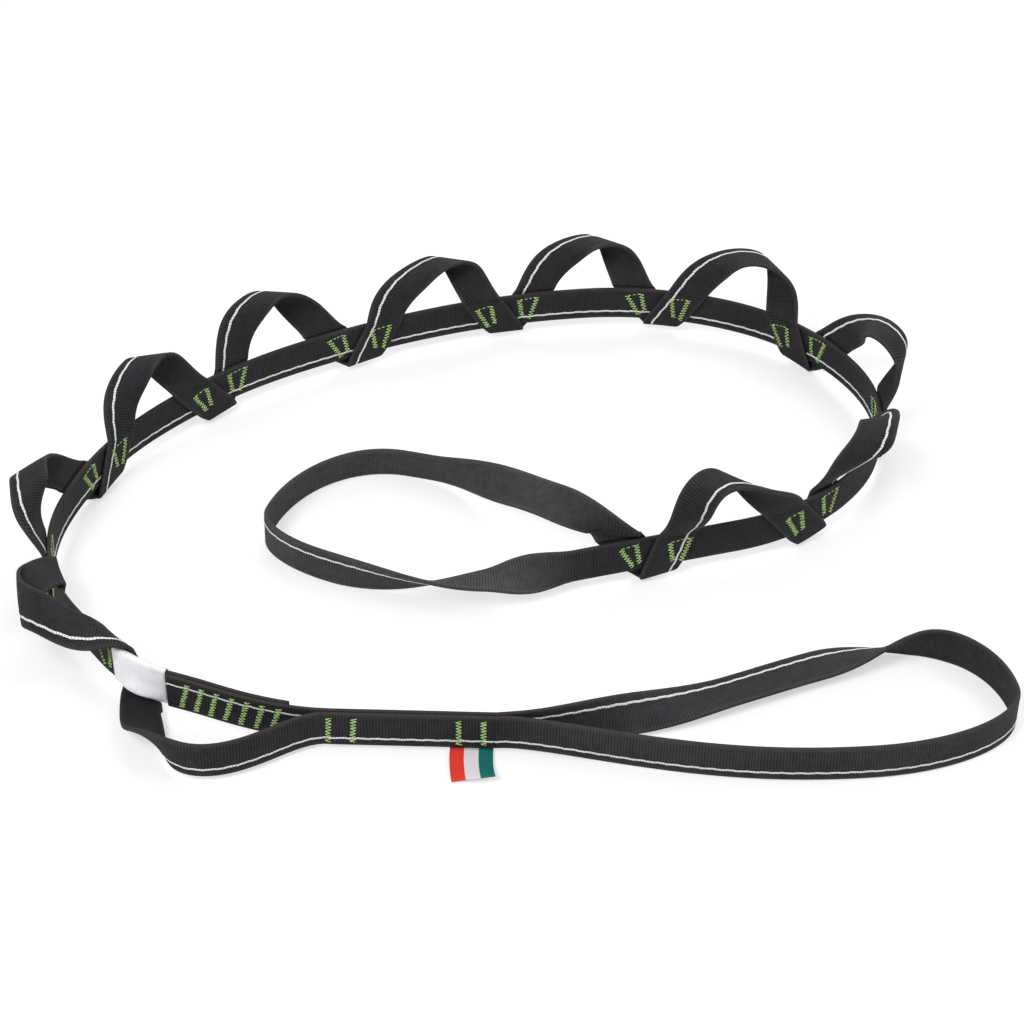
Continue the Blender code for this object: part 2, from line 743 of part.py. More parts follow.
def build_doubled_straps(bench):
    """The tail and the near strand, side by side from the splice to the end loop."""
    root = -END_HINGE_SETBACK + LOOP_HINGE_GAP / 2

    def tail(mark, across):
        return beside(mark, -PLY_PITCH, lift(mark) + WEB_WIDTH / 2 + across)

    def near(mark, across):
        return beside(mark, -2 * PLY_PITCH, lift(mark) + WEB_WIDTH / 2 - across)

    bench.strap("tail_strap", even_marks(SPLICE_END, root, SPINE_STEP), tail, 1)
    bench.strap("doubled_strap", even_marks(root, TACK_SPAN + TACK_MARGIN, SPINE_STEP), near, 1)


def build_free_straps(bench):
    """The plain pocket and the two loops."""
    plain = plain_pocket_strap()
    bench.strap("plain_pocket", even_marks(0.0, plain.route.length, LOOP_STEP), plain.at, LOOP_STEPS_ACROSS)
    for name, loop, axis in (
        ("end_loop", end_loop_strap(), end_loop_hinge()),
        ("girth_loop", girth_loop_strap(), girth_loop_hinge()),
    ):
        carrier = bench.hinge(f"{name}_hinge", axis)
        marks = even_marks(0.0, loop.route.length, LOOP_STEP)
        bench.strap(name, marks, loop.at, LOOP_STEPS_ACROSS, carrier)


def build_pockets(bench):
    """The arched part of each twisted pocket, on its own hinge."""
    for number in range(POCKET_COUNT):
        name = f"pocket_{number + 1:02d}"
        carrier = bench.hinge(f"{name}_hinge", pocket_hinge(number))
        pocket = Pocket(number)
        marks = spread(0.0, pocket.route.length, POCKET_STEPS)
        bench.strap(name, marks, pocket.at, LOOP_STEPS_ACROSS, carrier)


def build_folds(bench):
    """Where the strand is sewn to one side of the spine, passes under it and is sewn to the other."""
    for fold in CREASES:
        bench.strap(f"fold_{fold.number + 1:02d}", fold.marks(), fold.at, STRAND_STEPS_ACROSS)


def build_stitching(bench):
    """Every thread that shows: one on each side of each sewn place."""
    for fold in range(POCKET_COUNT + 1):
        bench.stitch(f"fold_{fold + 1:02d}_stitching_right", fold_stitching(fold, 1))
        bench.stitch(f"fold_{fold + 1:02d}_stitching_left", fold_stitching(fold, -1))
    clear = WEB_THICKNESS / 2 + THREAD_GAP + THREAD_RADIUS
    pair = (-TACK_SPACING / 2, TACK_SPACING / 2)
    splice = [SPLICE_FIRST_BAR + number * SPLICE_BAR_SPACING for number in range(SPLICE_BARS)]
    sewn = (
        ("end_tack", pair, -2 * PLY_PITCH, -PLY_PITCH),
        ("pocket_tack", [TACK_SPAN + place for place in pair], -2 * PLY_PITCH, -PLY_PITCH),
        ("splice", splice, -PLY_PITCH, 0.0),
    )
    for name, places, left_ply, right_ply in sewn:
        bench.stitch(f"{name}_stitching_left", straight_stitching(places, left_ply - clear))
        bench.stitch(f"{name}_stitching_right", straight_stitching(places, right_ply + clear))


def label_section(flare):
    """The label sleeve seen along the spine: close round it, with a bulge low on the left."""
    side = WEB_THICKNESS / 2 + LABEL_GAP + LABEL_THICKNESS / 2
    low = SPINE_LIFT - LABEL_GAP - LABEL_THICKNESS / 2
    high = SPINE_LIFT + WEB_WIDTH + LABEL_GAP + LABEL_THICKNESS / 2
    middle = (low + high) / 2
    return [
        (0.0, high),
        (-side, high),
        (-side - flare / 4, middle),
        (-side - flare, low + (middle - low) / 3),
        (-side, low),
        (side, low),
        (side, middle),
        (side, high),
    ]


def build_label(bench):
    """The label: a sleeve that slides on the spine between the splice and the first pocket."""
    shape = bmesh.new()
    rings = []
    for step in range(LABEL_STEPS + 1):
        share = step / LABEL_STEPS
        flare = LABEL_FLARE * math.sin(math.pi * share)
        along = LABEL_START + LABEL_LENGTH * share
        rings.append([shape.verts.new(beside(along, right, up)) for right, up in label_section(flare)])
    for ring, following in zip(rings, rings[1:]):
        for number in range(len(ring)):
            beyond = (number + 1) % len(ring)
            shape.faces.new((ring[number], ring[beyond], following[beyond], following[number]))
    bmesh.ops.recalc_face_normals(shape, faces=shape.faces)
    mesh = bpy.data.meshes.new("label_sleeve")
    shape.to_mesh(mesh)
    shape.free()
    item = bench.add("label_sleeve", mesh, bench.label, None)
    solid = item.modifiers.new("Thickness", "SOLIDIFY")
    solid.thickness = LABEL_THICKNESS
    solid.offset = 0.0
    solid.use_even_offset = True


def build_tab(bench):
    """The tab: a seam under the doubled strap and a flap that folds up from it."""

    def seam(row, column):
        return beside(TAB_WIDTH * (column - 0.5), TAB_ROOT + TAB_SEAM * row, TAB_HEIGHT)

    def flap(row, column):
        out = row / TAB_STEPS
        side = column / TAB_STEPS
        drop = (TAB_HEIGHT - TAB_THICKNESS / 2) * smooth(out)
        curl = TAB_CURL * out * out * (1.0 - side)
        skew = TAB_SKEW * out * out
        right = TAB_ROOT - TAB_HINGE_GAP - TAB_LENGTH * out
        return beside(TAB_WIDTH * (side - 0.5) - skew, right, TAB_HEIGHT - drop + curl)

    carrier = bench.hinge("tab_hinge", tab_hinge())
    bench.sheet("tab_seam", 1, 1, seam, TAB_THICKNESS, bench.tab)
    bench.sheet("tab_flap", TAB_STEPS, TAB_STEPS, flap, TAB_THICKNESS, bench.tab, carrier)


def centre_on_ground(bench):
    """Move the whole chain so that its box stands centred on the origin."""
    bpy.context.view_layer.update()
    graph = bpy.context.evaluated_depsgraph_get()
    points = []
    for item in bench.parts.objects:
        if item.type != "EMPTY":
            shown = item.evaluated_get(graph)
            points += [shown.matrix_world @ vertex.co for vertex in shown.to_mesh().vertices]
            shown.to_mesh_clear()
    lows = [min(point[axis] for point in points) for axis in range(3)]
    highs = [max(point[axis] for point in points) for axis in range(3)]
    bench.chain.location = (-(lows[0] + highs[0]) / 2, -(lows[1] + highs[1]) / 2, -lows[2])


def main():
    """Build the chain."""
    clear_scene()
    bench = Bench()
    build_spine(bench)
    build_doubled_straps(bench)
    build_free_straps(bench)
    build_pockets(bench)
    build_folds(bench)
    build_stitching(bench)
    build_label(bench)
    build_tab(bench)
    centre_on_ground(bench)


main()
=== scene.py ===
"""The looks of a climbing daisy chain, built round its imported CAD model.

One strip of dark webbing runs straight through as the spine and comes back winding round itself
in arched pockets. Every class below holds the sizes of one sub-assembly and makes its meshes: the
strip's lengths, the lime-green stitching, the label sleeve and the coloured tab. All routes are
laid out in the chain's own frame, as a distance along the spine, one to its right and a height,
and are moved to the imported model's place when a mesh is made.
"""

import bisect
import logging
import math
import random
from dataclasses import dataclass, field
from enum import Enum, IntEnum
from typing import Callable, Protocol, Sequence

import bpy
import numpy as np
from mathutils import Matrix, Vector


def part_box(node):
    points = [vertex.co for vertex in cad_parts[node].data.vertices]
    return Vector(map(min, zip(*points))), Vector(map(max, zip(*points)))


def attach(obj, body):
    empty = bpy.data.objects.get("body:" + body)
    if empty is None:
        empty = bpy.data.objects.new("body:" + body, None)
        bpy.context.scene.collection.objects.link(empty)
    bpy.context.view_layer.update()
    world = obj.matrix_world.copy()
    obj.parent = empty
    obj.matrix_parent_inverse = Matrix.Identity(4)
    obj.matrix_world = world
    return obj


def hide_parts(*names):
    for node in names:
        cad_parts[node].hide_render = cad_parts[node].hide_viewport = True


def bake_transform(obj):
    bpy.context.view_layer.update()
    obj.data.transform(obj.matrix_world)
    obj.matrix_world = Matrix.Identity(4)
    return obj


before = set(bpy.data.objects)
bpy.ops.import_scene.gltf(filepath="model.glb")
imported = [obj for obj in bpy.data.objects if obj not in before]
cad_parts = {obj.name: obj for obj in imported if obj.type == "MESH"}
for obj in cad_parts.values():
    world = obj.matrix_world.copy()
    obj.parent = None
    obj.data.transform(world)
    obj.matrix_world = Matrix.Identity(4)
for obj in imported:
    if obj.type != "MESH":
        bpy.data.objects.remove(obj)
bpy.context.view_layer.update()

LOG = logging.getLogger("daisy_chain")
MM = 0.001
UP = Vector((0.0, 0.0, 1.0))
WEAVE = "weave"
CURVE_STEPS = 24
ROUND_SHARE = 0.55

Row = Callable[[float], Vector]
Place = Callable[[float, float], Vector]
Bar = tuple[Vector, Vector]
Stitch = tuple[Vector, float]
Colour = tuple[float, float, float]


def smooth(share: float) -> float:
    """Ease from 0 to 1, flat at both ends."""
    share = min(max(share, 0.0), 1.0)
    return share * share * (3.0 - 2.0 * share)


def spread(start: float, end: float, steps: int) -> list[float]:
    """Evenly spaced marks from start to end, with both."""
    return [start + (end - start) * step / steps for step in range(steps + 1)]


def even_marks(start: float, end: float, step: float) -> list[float]:
    """Marks from start to end, about a step apart."""
    return spread(start, end, max(1, math.ceil(abs(end - start) / step)))


def bezier(start: Vector, handle_a: Vector, handle_b: Vector, end: Vector) -> list[Vector]:
    """Points of a cubic Bezier curve.

    Args:
        start: The curve's first point.
        handle_a: The handle that it leaves towards.
        handle_b: The handle that it arrives from.
        end: The curve's last point.

    Returns:
        The points, with both ends.
    """
    points = []
    for t in spread(0.0, 1.0, CURVE_STEPS):
        s = 1.0 - t
        outer = start * s**3 + handle_a * (3 * s * s * t)
        points.append(outer + handle_b * (3 * s * t * t) + end * t**3)
    return points


def drop_marks(length: float, shares: Sequence[float]) -> tuple[float, float, float, float]:
    """How far out half of a loop, shaped like a drop, has its places.

    Args:
        length: The loop's length from its root to its tip.
        shares: Its first three places, as shares of the length.

    Returns:
        The end of its straight leave, the handle that widens it, its widest place and the handle
        that rounds it towards the tip.
    """
    leave, reach, wide = (share * length for share in shares)
    return leave, reach, wide, wide + ROUND_SHARE * (length - wide)


def turned_level(direction: Vector, degrees: float) -> Vector:
    """A level direction turned about the vertical, to the left."""
    angle = math.radians(degrees)
    return direction * math.cos(angle) + UP.cross(direction) * math.sin(angle)


class Polyline:
    """A curve kept as close points, read by the distance along it."""

    def __init__(self, points: Sequence[Vector]) -> None:
        """Keep the points and the distance to each.

        Args:
            points: The curve's points, level or in space.
        """
        self.points = [Vector(point) for point in points]
        self.marks = [0.0]
        for before, after in zip(self.points, self.points[1:]):
            self.marks.append(self.marks[-1] + (after - before).length)
        self.length = self.marks[-1]

    def at(self, distance: float) -> Vector:
        """Find the point this far along.

        Args:
            distance: How far along it is.

        Returns:
            The point, which lies on a straight line beyond either end.
        """
        index = bisect.bisect_left(self.marks, distance) - 1
        index = min(max(index, 0), len(self.points) - 2)
        share = (distance - self.marks[index]) / (self.marks[index + 1] - self.marks[index])
        return self.points[index].lerp(self.points[index + 1], share)

    def direction(self, distance: float) -> Vector:
        """The unit direction of travel there."""
        reach = self.length / len(self.points)
        return (self.at(distance + reach) - self.at(distance - reach)).normalized()


@dataclass(frozen=True)
class Webbing:
    """The strip's own sizes."""

    width: float = 18.0 * MM
    thickness: float = 2.0 * MM
    ply_gap: float = 0.3 * MM
    join_gap: float = 0.3 * MM
    step: float = 1.2 * MM
    selvedge: float = 1.0 * MM
    groove: float = 0.06 * MM
    groove_place: float = 7.5 * MM
    groove_width: float = 0.5 * MM
    tracer_share: float = 0.26
    tracer_width: float = 1.0 * MM
    tracer_rise: float = 0.20 * MM
    tracer_sway: float = 0.21 * MM
    base_columns: int = 6

    @property
    def pitch(self) -> float:
        """The distance between the middles of two plies that lie on each other."""
        return self.thickness + self.ply_gap


WEB = Webbing()


@dataclass
class Layout:
    """How the spine lies on the ground, where its folds are and how high it stands.

    Each bend has its start along the spine, its length and its degrees to the left.
    """

    pocket_count: int = 10
    pocket_pitch: float = 80.0 * MM
    tack_span: float = 55.0 * MM
    tack_margin: float = 8.0 * MM
    splice_start: float = 77.0 * MM
    splice_end: float = 131.0 * MM
    label_start: float = 132.0 * MM
    first_fold: float = 147.0 * MM
    second_fold: float = 234.0 * MM
    double_lift: float = 1.6 * MM
    spine_lift: float = 6.5 * MM
    first_heading_deg: float = 178.0
    splice_bend: tuple[float, float, float] = (63.0 * MM, 45.0 * MM, -17)
    label_bend: tuple[float, float, float] = (128.0 * MM, 45.0 * MM, -34)
    fold_turns_deg: tuple[float, ...] = (-49, -28, -19, -11, -14, -30, -41, -57, -42)
    end_hinge_setback: float = 10.0 * MM
    girth_hinge_setback: float = 30.0 * MM
    loop_hinge_gap: float = 1.1 * MM
    bends: list[tuple[float, float, float]] = field(init=False)
    folds: list[float] = field(init=False)
    route: Polyline = field(init=False)

    def __post_init__(self) -> None:
        """Lay the route in plan, from the first stitching to the girth loop."""
        self.bends = [self.splice_bend, self.label_bend]
        for number, turn in enumerate(self.fold_turns_deg, start=1):
            start = self.second_fold + (number - 1.5) * self.pocket_pitch
            self.bends.append((start, self.pocket_pitch, turn))
        self.folds = [self.first_fold]
        for number in range(self.pocket_count):
            self.folds.append(self.second_fold + number * self.pocket_pitch)
        end = self.second_fold + (self.pocket_count - 0.5) * self.pocket_pitch
        step = WEB.thickness
        point = Vector((0.0, 0.0))
        points = [point]
        for number in range(math.ceil(end / step)):
            middle = self.heading((number + 0.5) * step)
            point = point + step * Vector((math.cos(middle), math.sin(middle)))
            points.append(point)
        self.route = Polyline(points)

    @property
    def tail_root(self) -> float:
        """Where the doubled straps end and the end loop starts."""
        return -self.end_hinge_setback + self.loop_hinge_gap / 2

    @property
    def spine_end(self) -> float:
        """Where the spine ends and the girth loop starts."""
        return self.folds[-1] + self.girth_hinge_setback - self.loop_hinge_gap / 2

    def heading(self, along: float) -> float:
        """Add up the bends before a place.

        Args:
            along: The place's distance along the spine.

        Returns:
            The spine's heading there, in radians from +X.
        """
        angle = math.radians(self.first_heading_deg)
        for start, length, turn in self.bends:
            angle += math.radians(turn) * min(max((along - start) / length, 0.0), 1.0)
        return angle

    def forward(self, along: float) -> Vector:
        """The spine's unit direction, level."""
        angle = self.heading(along)
        return Vector((math.cos(angle), math.sin(angle), 0.0))

    def rightward(self, along: float) -> Vector:
        """The level unit direction to the right of the spine."""
        return self.forward(along).cross(UP)

    def beside(self, along: float, right: float, height: float) -> Vector:
        """The place that lies this far along the spine, to its right, and above the ground."""
        return self.route.at(along).to_3d() + self.rightward(along) * right + UP * height

    def lift(self, along: float) -> float:
        """The height of the spine's lower edge above the ground."""
        rise = smooth((along - self.tack_span) / (self.label_start - self.tack_span))
        return self.double_lift + (self.spine_lift - self.double_lift) * rise

    def spine(self, mark: float, across: float) -> Vector:
        """A point of the spine, whose strip hangs with its tracer low on the right."""
        return self.beside(mark, 0.0, self.lift(mark) + WEB.width / 2 - across)

    def tail(self, mark: float, across: float) -> Vector:
        """A point of the tail, which lies on the spine's left with its tracer high."""
        return self.beside(mark, -WEB.pitch, self.lift(mark) + WEB.width / 2 + across)

    def near(self, mark: float, across: float) -> Vector:
        """A point of the near strand, outside the tail, with its tracer low."""
        return self.beside(mark, -2 * WEB.pitch, self.lift(mark) + WEB.width / 2 - across)


LAYOUT = Layout()


class Side(IntEnum):
    """A side of the spine, with the sign that distances to the right have there."""

    RIGHT = 1
    LEFT = -1


@dataclass
class Crease:
    """Where the strand passes under the spine, round a crease that dips a little as it goes along.

    The strand falls on the side of the pocket before, and rises on the side of the pocket that
    follows. The tuck is how much narrower its sewing draws it at the crease.
    """

    number: int
    strand_angles_deg: tuple[float, ...] = (56, 66, 53, 61, 56, 57, 57, 57, 62, 61, 62)
    crease_dips_deg: tuple[float, ...] = (0, -8, -8, -8, -5, 1, 0, 7, 8, 8, 8)
    label_room: float = 0.6 * MM
    plain_setback: float = 4.0 * MM
    crease_steps: int = 11
    tuck: float = 0.24
    tuck_reach: float = 7.5 * MM

    def __post_init__(self) -> None:
        """Work out the crease's radius and how far it drops below the spine."""
        self.angle = math.radians(self.strand_angles_deg[self.number])
        self.dip = math.radians(self.crease_dips_deg[self.number])
        self.side = self.side_of(self.number)
        self.radius = WEB.pitch + (self.label_room if self.number == 0 else 0.0)
        self.quarter = self.radius * math.pi / 2
        self.turned = self.quarter / math.sin(self.angle)
        overhang = WEB.width / 2 / math.sin(self.angle) + self.quarter / math.tan(self.angle)
        self.drop = overhang * math.tan(abs(self.dip))

    @staticmethod
    def side_of(pocket: int) -> Side:
        """Which side of the spine a pocket is sewn to."""
        return Side.RIGHT if pocket % 2 == 0 else Side.LEFT

    def climb(self, sense: float) -> float:
        """The strand's angle to the level where it rises, sense 1, or falls, sense -1."""
        return self.angle - sense * self.dip

    def reach(self, sense: float, beyond: float = 0.0) -> float:
        """How far along the strand its middle stands this far above the spine's upper edge."""
        rise = WEB.width + beyond + self.drop + self.quarter * math.cos(self.dip)
        return sense * rise / math.sin(self.climb(sense))

    def place(self, run: float, wrap: float) -> tuple[float, float, float]:
        """A point of the wound strand.

        Args:
            run: The distance along the crease.
            wrap: The distance round it.

        Returns:
            The place along the spine, to its right, and up.
        """
        if self.number == 0 and wrap < 0.0:
            return LAYOUT.folds[0] + run, wrap, LAYOUT.spine_lift - self.radius
        bend = min(max(wrap / self.radius, -math.pi / 2), math.pi / 2)
        below = max(abs(wrap) - self.quarter, 0.0) - self.radius * math.cos(bend)
        along = LAYOUT.folds[self.number] + run * math.cos(self.dip) + below * math.sin(self.dip)
        up = LAYOUT.spine_lift - self.drop - run * math.sin(self.dip) + below * math.cos(self.dip)
        return along, self.side * self.radius * math.sin(bend), up

    def local(self, mark: float, across: float) -> tuple[float, float, float]:
        """Place a point of the strand, whose rows lie along the crease and turn level higher up.

        Args:
            mark: The distance along the strand from the fold's middle.
            across: The place across the strip.

        Returns:
            The place along the spine, to its right, and up.
        """
        slant = 1.0 / math.tan(self.angle)
        if self.number > 0 or mark > 0.0:
            sense = math.copysign(1.0, mark)
            beyond = (abs(mark) - self.turned) / (abs(self.reach(sense)) - self.turned)
            slant += (1.0 / math.tan(self.climb(sense)) - slant) * min(max(beyond, 0.0), 1.0)
        mark -= slant * across
        run = mark * math.cos(self.angle) - across * math.sin(self.angle)
        wrap = mark * math.sin(self.angle) + across * math.cos(self.angle)
        if self.number > 0 or wrap > 0.0:
            run *= 1.0 - self.tuck * max(1.0 - abs(wrap) / self.tuck_reach, 0.0) ** 2
        return self.place(run, wrap)

    def at(self, mark: float, across: float) -> Vector:
        """The same point in space."""
        return LAYOUT.beside(*self.local(mark, across))

    def marks(self) -> list[float]:
        """Choose the rows of a fold.

        Returns:
            The marks of one sewn side, of the crease under the spine, and of the other sewn side.
        """
        rising = spread(0.0, self.turned, self.crease_steps)
        rising += even_marks(self.turned, self.reach(1), WEB.step)[1:]
        if self.number == 0:
            start = -self.plain_setback / math.sin(self.angle)
            return spread(start, 0.0, self.crease_steps) + rising[1:]
        falling = even_marks(self.reach(-1), -self.turned, WEB.step)
        return falling + spread(-self.turned, 0.0, self.crease_steps)[1:] + rising[1:]

    def edge(self, sense: float, height: float) -> float:
        """Find the strand's nearer edge at a height.

        Args:
            sense: Where the strand rises, 1, or falls, -1.
            height: The height above the ground.

        Returns:
            How far from the fold's middle it is.
        """
        along, _, up = self.local(self.reach(sense), sense * WEB.width / 2)
        out = sense * (along - LAYOUT.folds[self.number])
        return out - (up - height) / math.tan(self.climb(sense))


CREASES = [Crease(number) for number in range(LAYOUT.pocket_count + 1)]


@dataclass
class ArchedPocket:
    """An arched pocket, from the spine's upper edge at one fold to the same at the next."""

    number: int
    crest_height: float = 27.0 * MM
    crest_advances_mm: tuple[float, ...] = (5, -3, 4, -2, 8, 5, 5, 13, 1, 12)
    crest_rises_mm: tuple[float, ...] = (-6, -4, -3, 2, -4, -2, -2, 1, -4, 4)
    leans_deg: tuple[float, ...] = (-50, -6, 0, 0, 0, 0, 0, 0, 0, 0)
    crest_side: float = 7.0 * MM
    crest_turn_deg: float = 22.0
    crest_pitch_deg: float = -7.0
    crest_reach: float = 15.0 * MM
    rising_reach: float = 10.0 * MM
    rising_bulge: float = 6.0 * MM
    falling_reach: float = 16.0 * MM
    falling_bulge: float = 12.0 * MM
    row_turn_deg: float = -52.0
    row_pitch_deg: float = 7.0
    hinge_gap: float = 1.2 * MM
    least_width_share: float = 0.4
    easing_rounds: int = 26
    blend_rise: float = 5.0 * MM

    def __post_init__(self) -> None:
        """Lay the pocket's route along a straight spine, as places along, left and up."""
        first, last = CREASES[self.number], CREASES[self.number + 1]
        self.base = LAYOUT.spine_lift + WEB.width
        self.lean = math.radians(self.leans_deg[self.number])
        start, end = self.foot(first, 1), self.foot(last, -1)
        rising, falling = first.climb(1), last.climb(-1)
        away = Vector((math.cos(rising), 0.0, math.sin(rising)))
        home = Vector((math.cos(falling), 0.0, -math.sin(falling)))
        top = self.base + self.crest_height + self.crest_rises_mm[self.number] * MM
        middle = (start.x + end.x) / 2 + self.crest_advances_mm[self.number] * MM
        crest = Vector((middle, self.crest_side, top))
        over = self.aimed(self.crest_turn_deg, self.crest_pitch_deg) * self.crest_reach
        outward = Vector((0.0, 1.0, 0.0))
        leave = start + away * self.rising_reach + outward * self.rising_bulge
        arrive = end - home * self.falling_reach + outward * self.falling_bulge
        up = bezier(start, leave, crest - over, crest)
        down = bezier(crest, crest + over, arrive, end)
        self.route = Polyline(up + down[1:])
        self.crest_row = self.aimed(self.row_turn_deg, self.row_pitch_deg)

    @staticmethod
    def aimed(turn_deg: float, pitch_deg: float) -> Vector:
        """Aim a unit direction.

        Args:
            turn_deg: How far it is turned to the left of the spine.
            pitch_deg: How far it is pitched up.

        Returns:
            The direction along, left and up.
        """
        turn, pitch = math.radians(turn_deg), math.radians(pitch_deg)
        level = math.cos(pitch)
        return Vector((math.cos(turn) * level, math.sin(turn) * level, math.sin(pitch)))

    def foot(self, crease: Crease, sense: float) -> Vector:
        """The middle of the strand a hinge gap above the spine's upper edge, along, left and up."""
        along, right, up = crease.local(crease.reach(sense, self.hinge_gap), 0.0)
        return Vector((along, -right, up))

    def laid(self, mark: float, across: float) -> Vector:
        """Place a point before the pocket leans.

        Args:
            mark: The distance along the route.
            across: The place across the strip.

        Returns:
            The place along, left and up.
        """
        share = mark / self.route.length
        turned = smooth(1.0 - abs(2.0 * share - 1.0))
        row = Vector((1.0, 0.0, 0.0)).lerp(self.crest_row, turned).normalized()
        width = row.cross(self.route.direction(mark)).length
        return self.route.at(mark) - row * (across / max(width, self.least_width_share))

    def at(self, mark: float, across: float) -> Vector:
        """Place a point of the leaning pocket.

        Args:
            mark: The distance along the route.
            across: The place across the strip.

        Returns:
            The point in the chain's frame.
        """
        point = self.laid(mark, across)
        rise = point.z - self.base
        angle = self.lean * smooth(2 * rise / self.crest_height)
        right = -point.y * math.cos(angle) + rise * math.sin(angle)
        up = rise * math.cos(angle) + point.y * math.sin(angle)
        return LAYOUT.beside(point.x, right, self.base + up)

    def rows(self) -> list[Row]:
        """Line up the pocket's rows.

        Returns:
            The rows from the last row of one fold to the first of the next.
        """
        first, last = CREASES[self.number], CREASES[self.number + 1]
        gaps = (0.0, self.hinge_gap / 2)
        rows = [row_of(first.at, first.reach(1, gap)) for gap in gaps]
        rows += [row_of(self.at, mark) for mark in even_marks(0.0, self.route.length, WEB.step)]
        return rows + [row_of(last.at, last.reach(-1, gap)) for gap in reversed(gaps)]

    def blend_span(self) -> tuple[Vector, Vector]:
        """Where the pocket starts to turn with its body, just above the spine, and has turned."""
        foot = LAYOUT.beside(LAYOUT.folds[self.number], 0.0, self.base)
        return foot, foot + UP * self.blend_rise


def row_of(place: Place, mark: float) -> Row:
    """The row of a strap at one mark along it."""
    return lambda across: place(mark, across)


@dataclass
class FreeStrap:
    """A length of webbing that follows a route of its own, rolled about it by an angle.

    The slant leans its rows back, by this much of their place across.
    """

    points: list[Vector]
    roll: Callable[[float], float]
    slant: Callable[[float], float]

    def __post_init__(self) -> None:
        """Measure the route."""
        self.route = Polyline(self.points)

    def at(self, mark: float, across: float) -> Vector:
        """Place a point of the strap.

        Args:
            mark: The distance along the route.
            across: The place across the strip.

        Returns:
            The point in the chain's frame.
        """
        share = mark / self.route.length
        ahead = self.route.direction(mark)
        right = ahead.cross(UP).normalized()
        edge = right.cross(ahead) * math.cos(self.roll(share)) + right * math.sin(self.roll(share))
        return self.route.at(mark) + edge * across - ahead * (self.slant(share) * across)

    def rows(self) -> list[Row]:
        """All rows of the strap."""
        return [row_of(self.at, mark) for mark in even_marks(0.0, self.route.length, WEB.step)]


@dataclass(frozen=True)
class Roll:
    """How a strap rolls over as it goes along.

    Each turn has its start and its run, as shares of the strap's length, and its degrees.
    """

    turns: tuple[tuple[float, float, float], ...]

    def at(self, share: float) -> float:
        """The sum of the turns up to a share of the length, in radians."""
        turned = ((smooth((share - start) / run), turn) for start, run, turn in self.turns)
        return sum(math.radians(turn) * done for done, turn in turned)


@dataclass
class EndLoop:
    """The end loop: out beside the near strand, a half turn, round the tip and back."""

    length: float = 222.0 * MM
    far_bulge: float = 40.0 * MM
    near_bulge: float = 30.0 * MM
    far_shares: tuple[float, float, float] = (0.38, 0.60, 0.85)
    near_shares: tuple[float, float, float] = (0.10, 0.35, 0.70)
    turn_deg: float = -7.0
    roll: Roll = Roll(((0.02, 0.20, -90), (0.30, 0.13, -90)))
    droop: float = 3.0 * MM
    held_share: float = 0.25
    blend_length: float = 14.0 * MM
    # How much painted light makes the loop paler, standing in for light falling on it.
    painted_light: float = 0.3

    def half(self, bulge: float, shares: Sequence[float]) -> list[Vector]:
        """Draw half of the drop in plan.

        Args:
            bulge: How far it swells to its side.
            shares: The shares of its length for drop_marks.

        Returns:
            The points from its root at the origin straight out, wide, and then round to its tip.
        """
        leave, reach, wide, rounding = drop_marks(self.length, shares)
        root, tip, widest = Vector((0, 0)), Vector((self.length, 0)), Vector((wide, bulge))
        out = bezier(root, Vector((leave, 0)), Vector((reach, bulge)), widest)
        turn = Vector((self.length, ROUND_SHARE * bulge))
        return out + bezier(widest, Vector((rounding, bulge)), turn, tip)[1:]

    def strap(self) -> FreeStrap:
        """Lay the loop out on the ground.

        Returns:
            Its strap, from its root beside the tail round to its root beside the near strand.
        """
        root = -LAYOUT.end_hinge_setback - LAYOUT.loop_hinge_gap / 2
        start = LAYOUT.beside(root, -WEB.pitch, 0.0)
        ahead = turned_level(-LAYOUT.forward(root), -self.turn_deg)
        left = UP.cross(ahead)
        far = self.half(self.far_bulge, self.far_shares)
        near = self.half(self.near_bulge, self.near_shares)
        plan = Polyline(far + [Vector((point.x, -point.y)) for point in near[-2::-1]])
        points = []
        for point, mark in zip(plan.points, plan.marks):
            share = mark / plan.length
            free = smooth(share / self.held_share) * smooth((1.0 - share) / self.held_share)
            held = 1.0 - free
            sag = self.droop * math.sin(self.roll.at(share)) ** 2
            height = WEB.width / 2 + LAYOUT.double_lift * held - sag
            aside = left * (point.y - WEB.pitch * smooth(share))
            points.append(start + ahead * point.x + aside + UP * height)
        return FreeStrap(points, self.roll.at, lambda share: 0.0)

    def rows(self) -> list[Row]:
        """The loop's rows, from the tail's last row to the near strand's first."""
        root = LAYOUT.tail_root
        return [row_of(LAYOUT.tail, root)] + self.strap().rows() + [row_of(LAYOUT.near, root)]

    def blend_span(self) -> tuple[Vector, Vector]:
        """Where the loop starts to turn with its body, at its root, and where it has turned."""
        root = LAYOUT.beside(LAYOUT.tail_root, -1.5 * WEB.pitch, LAYOUT.double_lift)
        return root, root - LAYOUT.forward(LAYOUT.tail_root) * self.blend_length


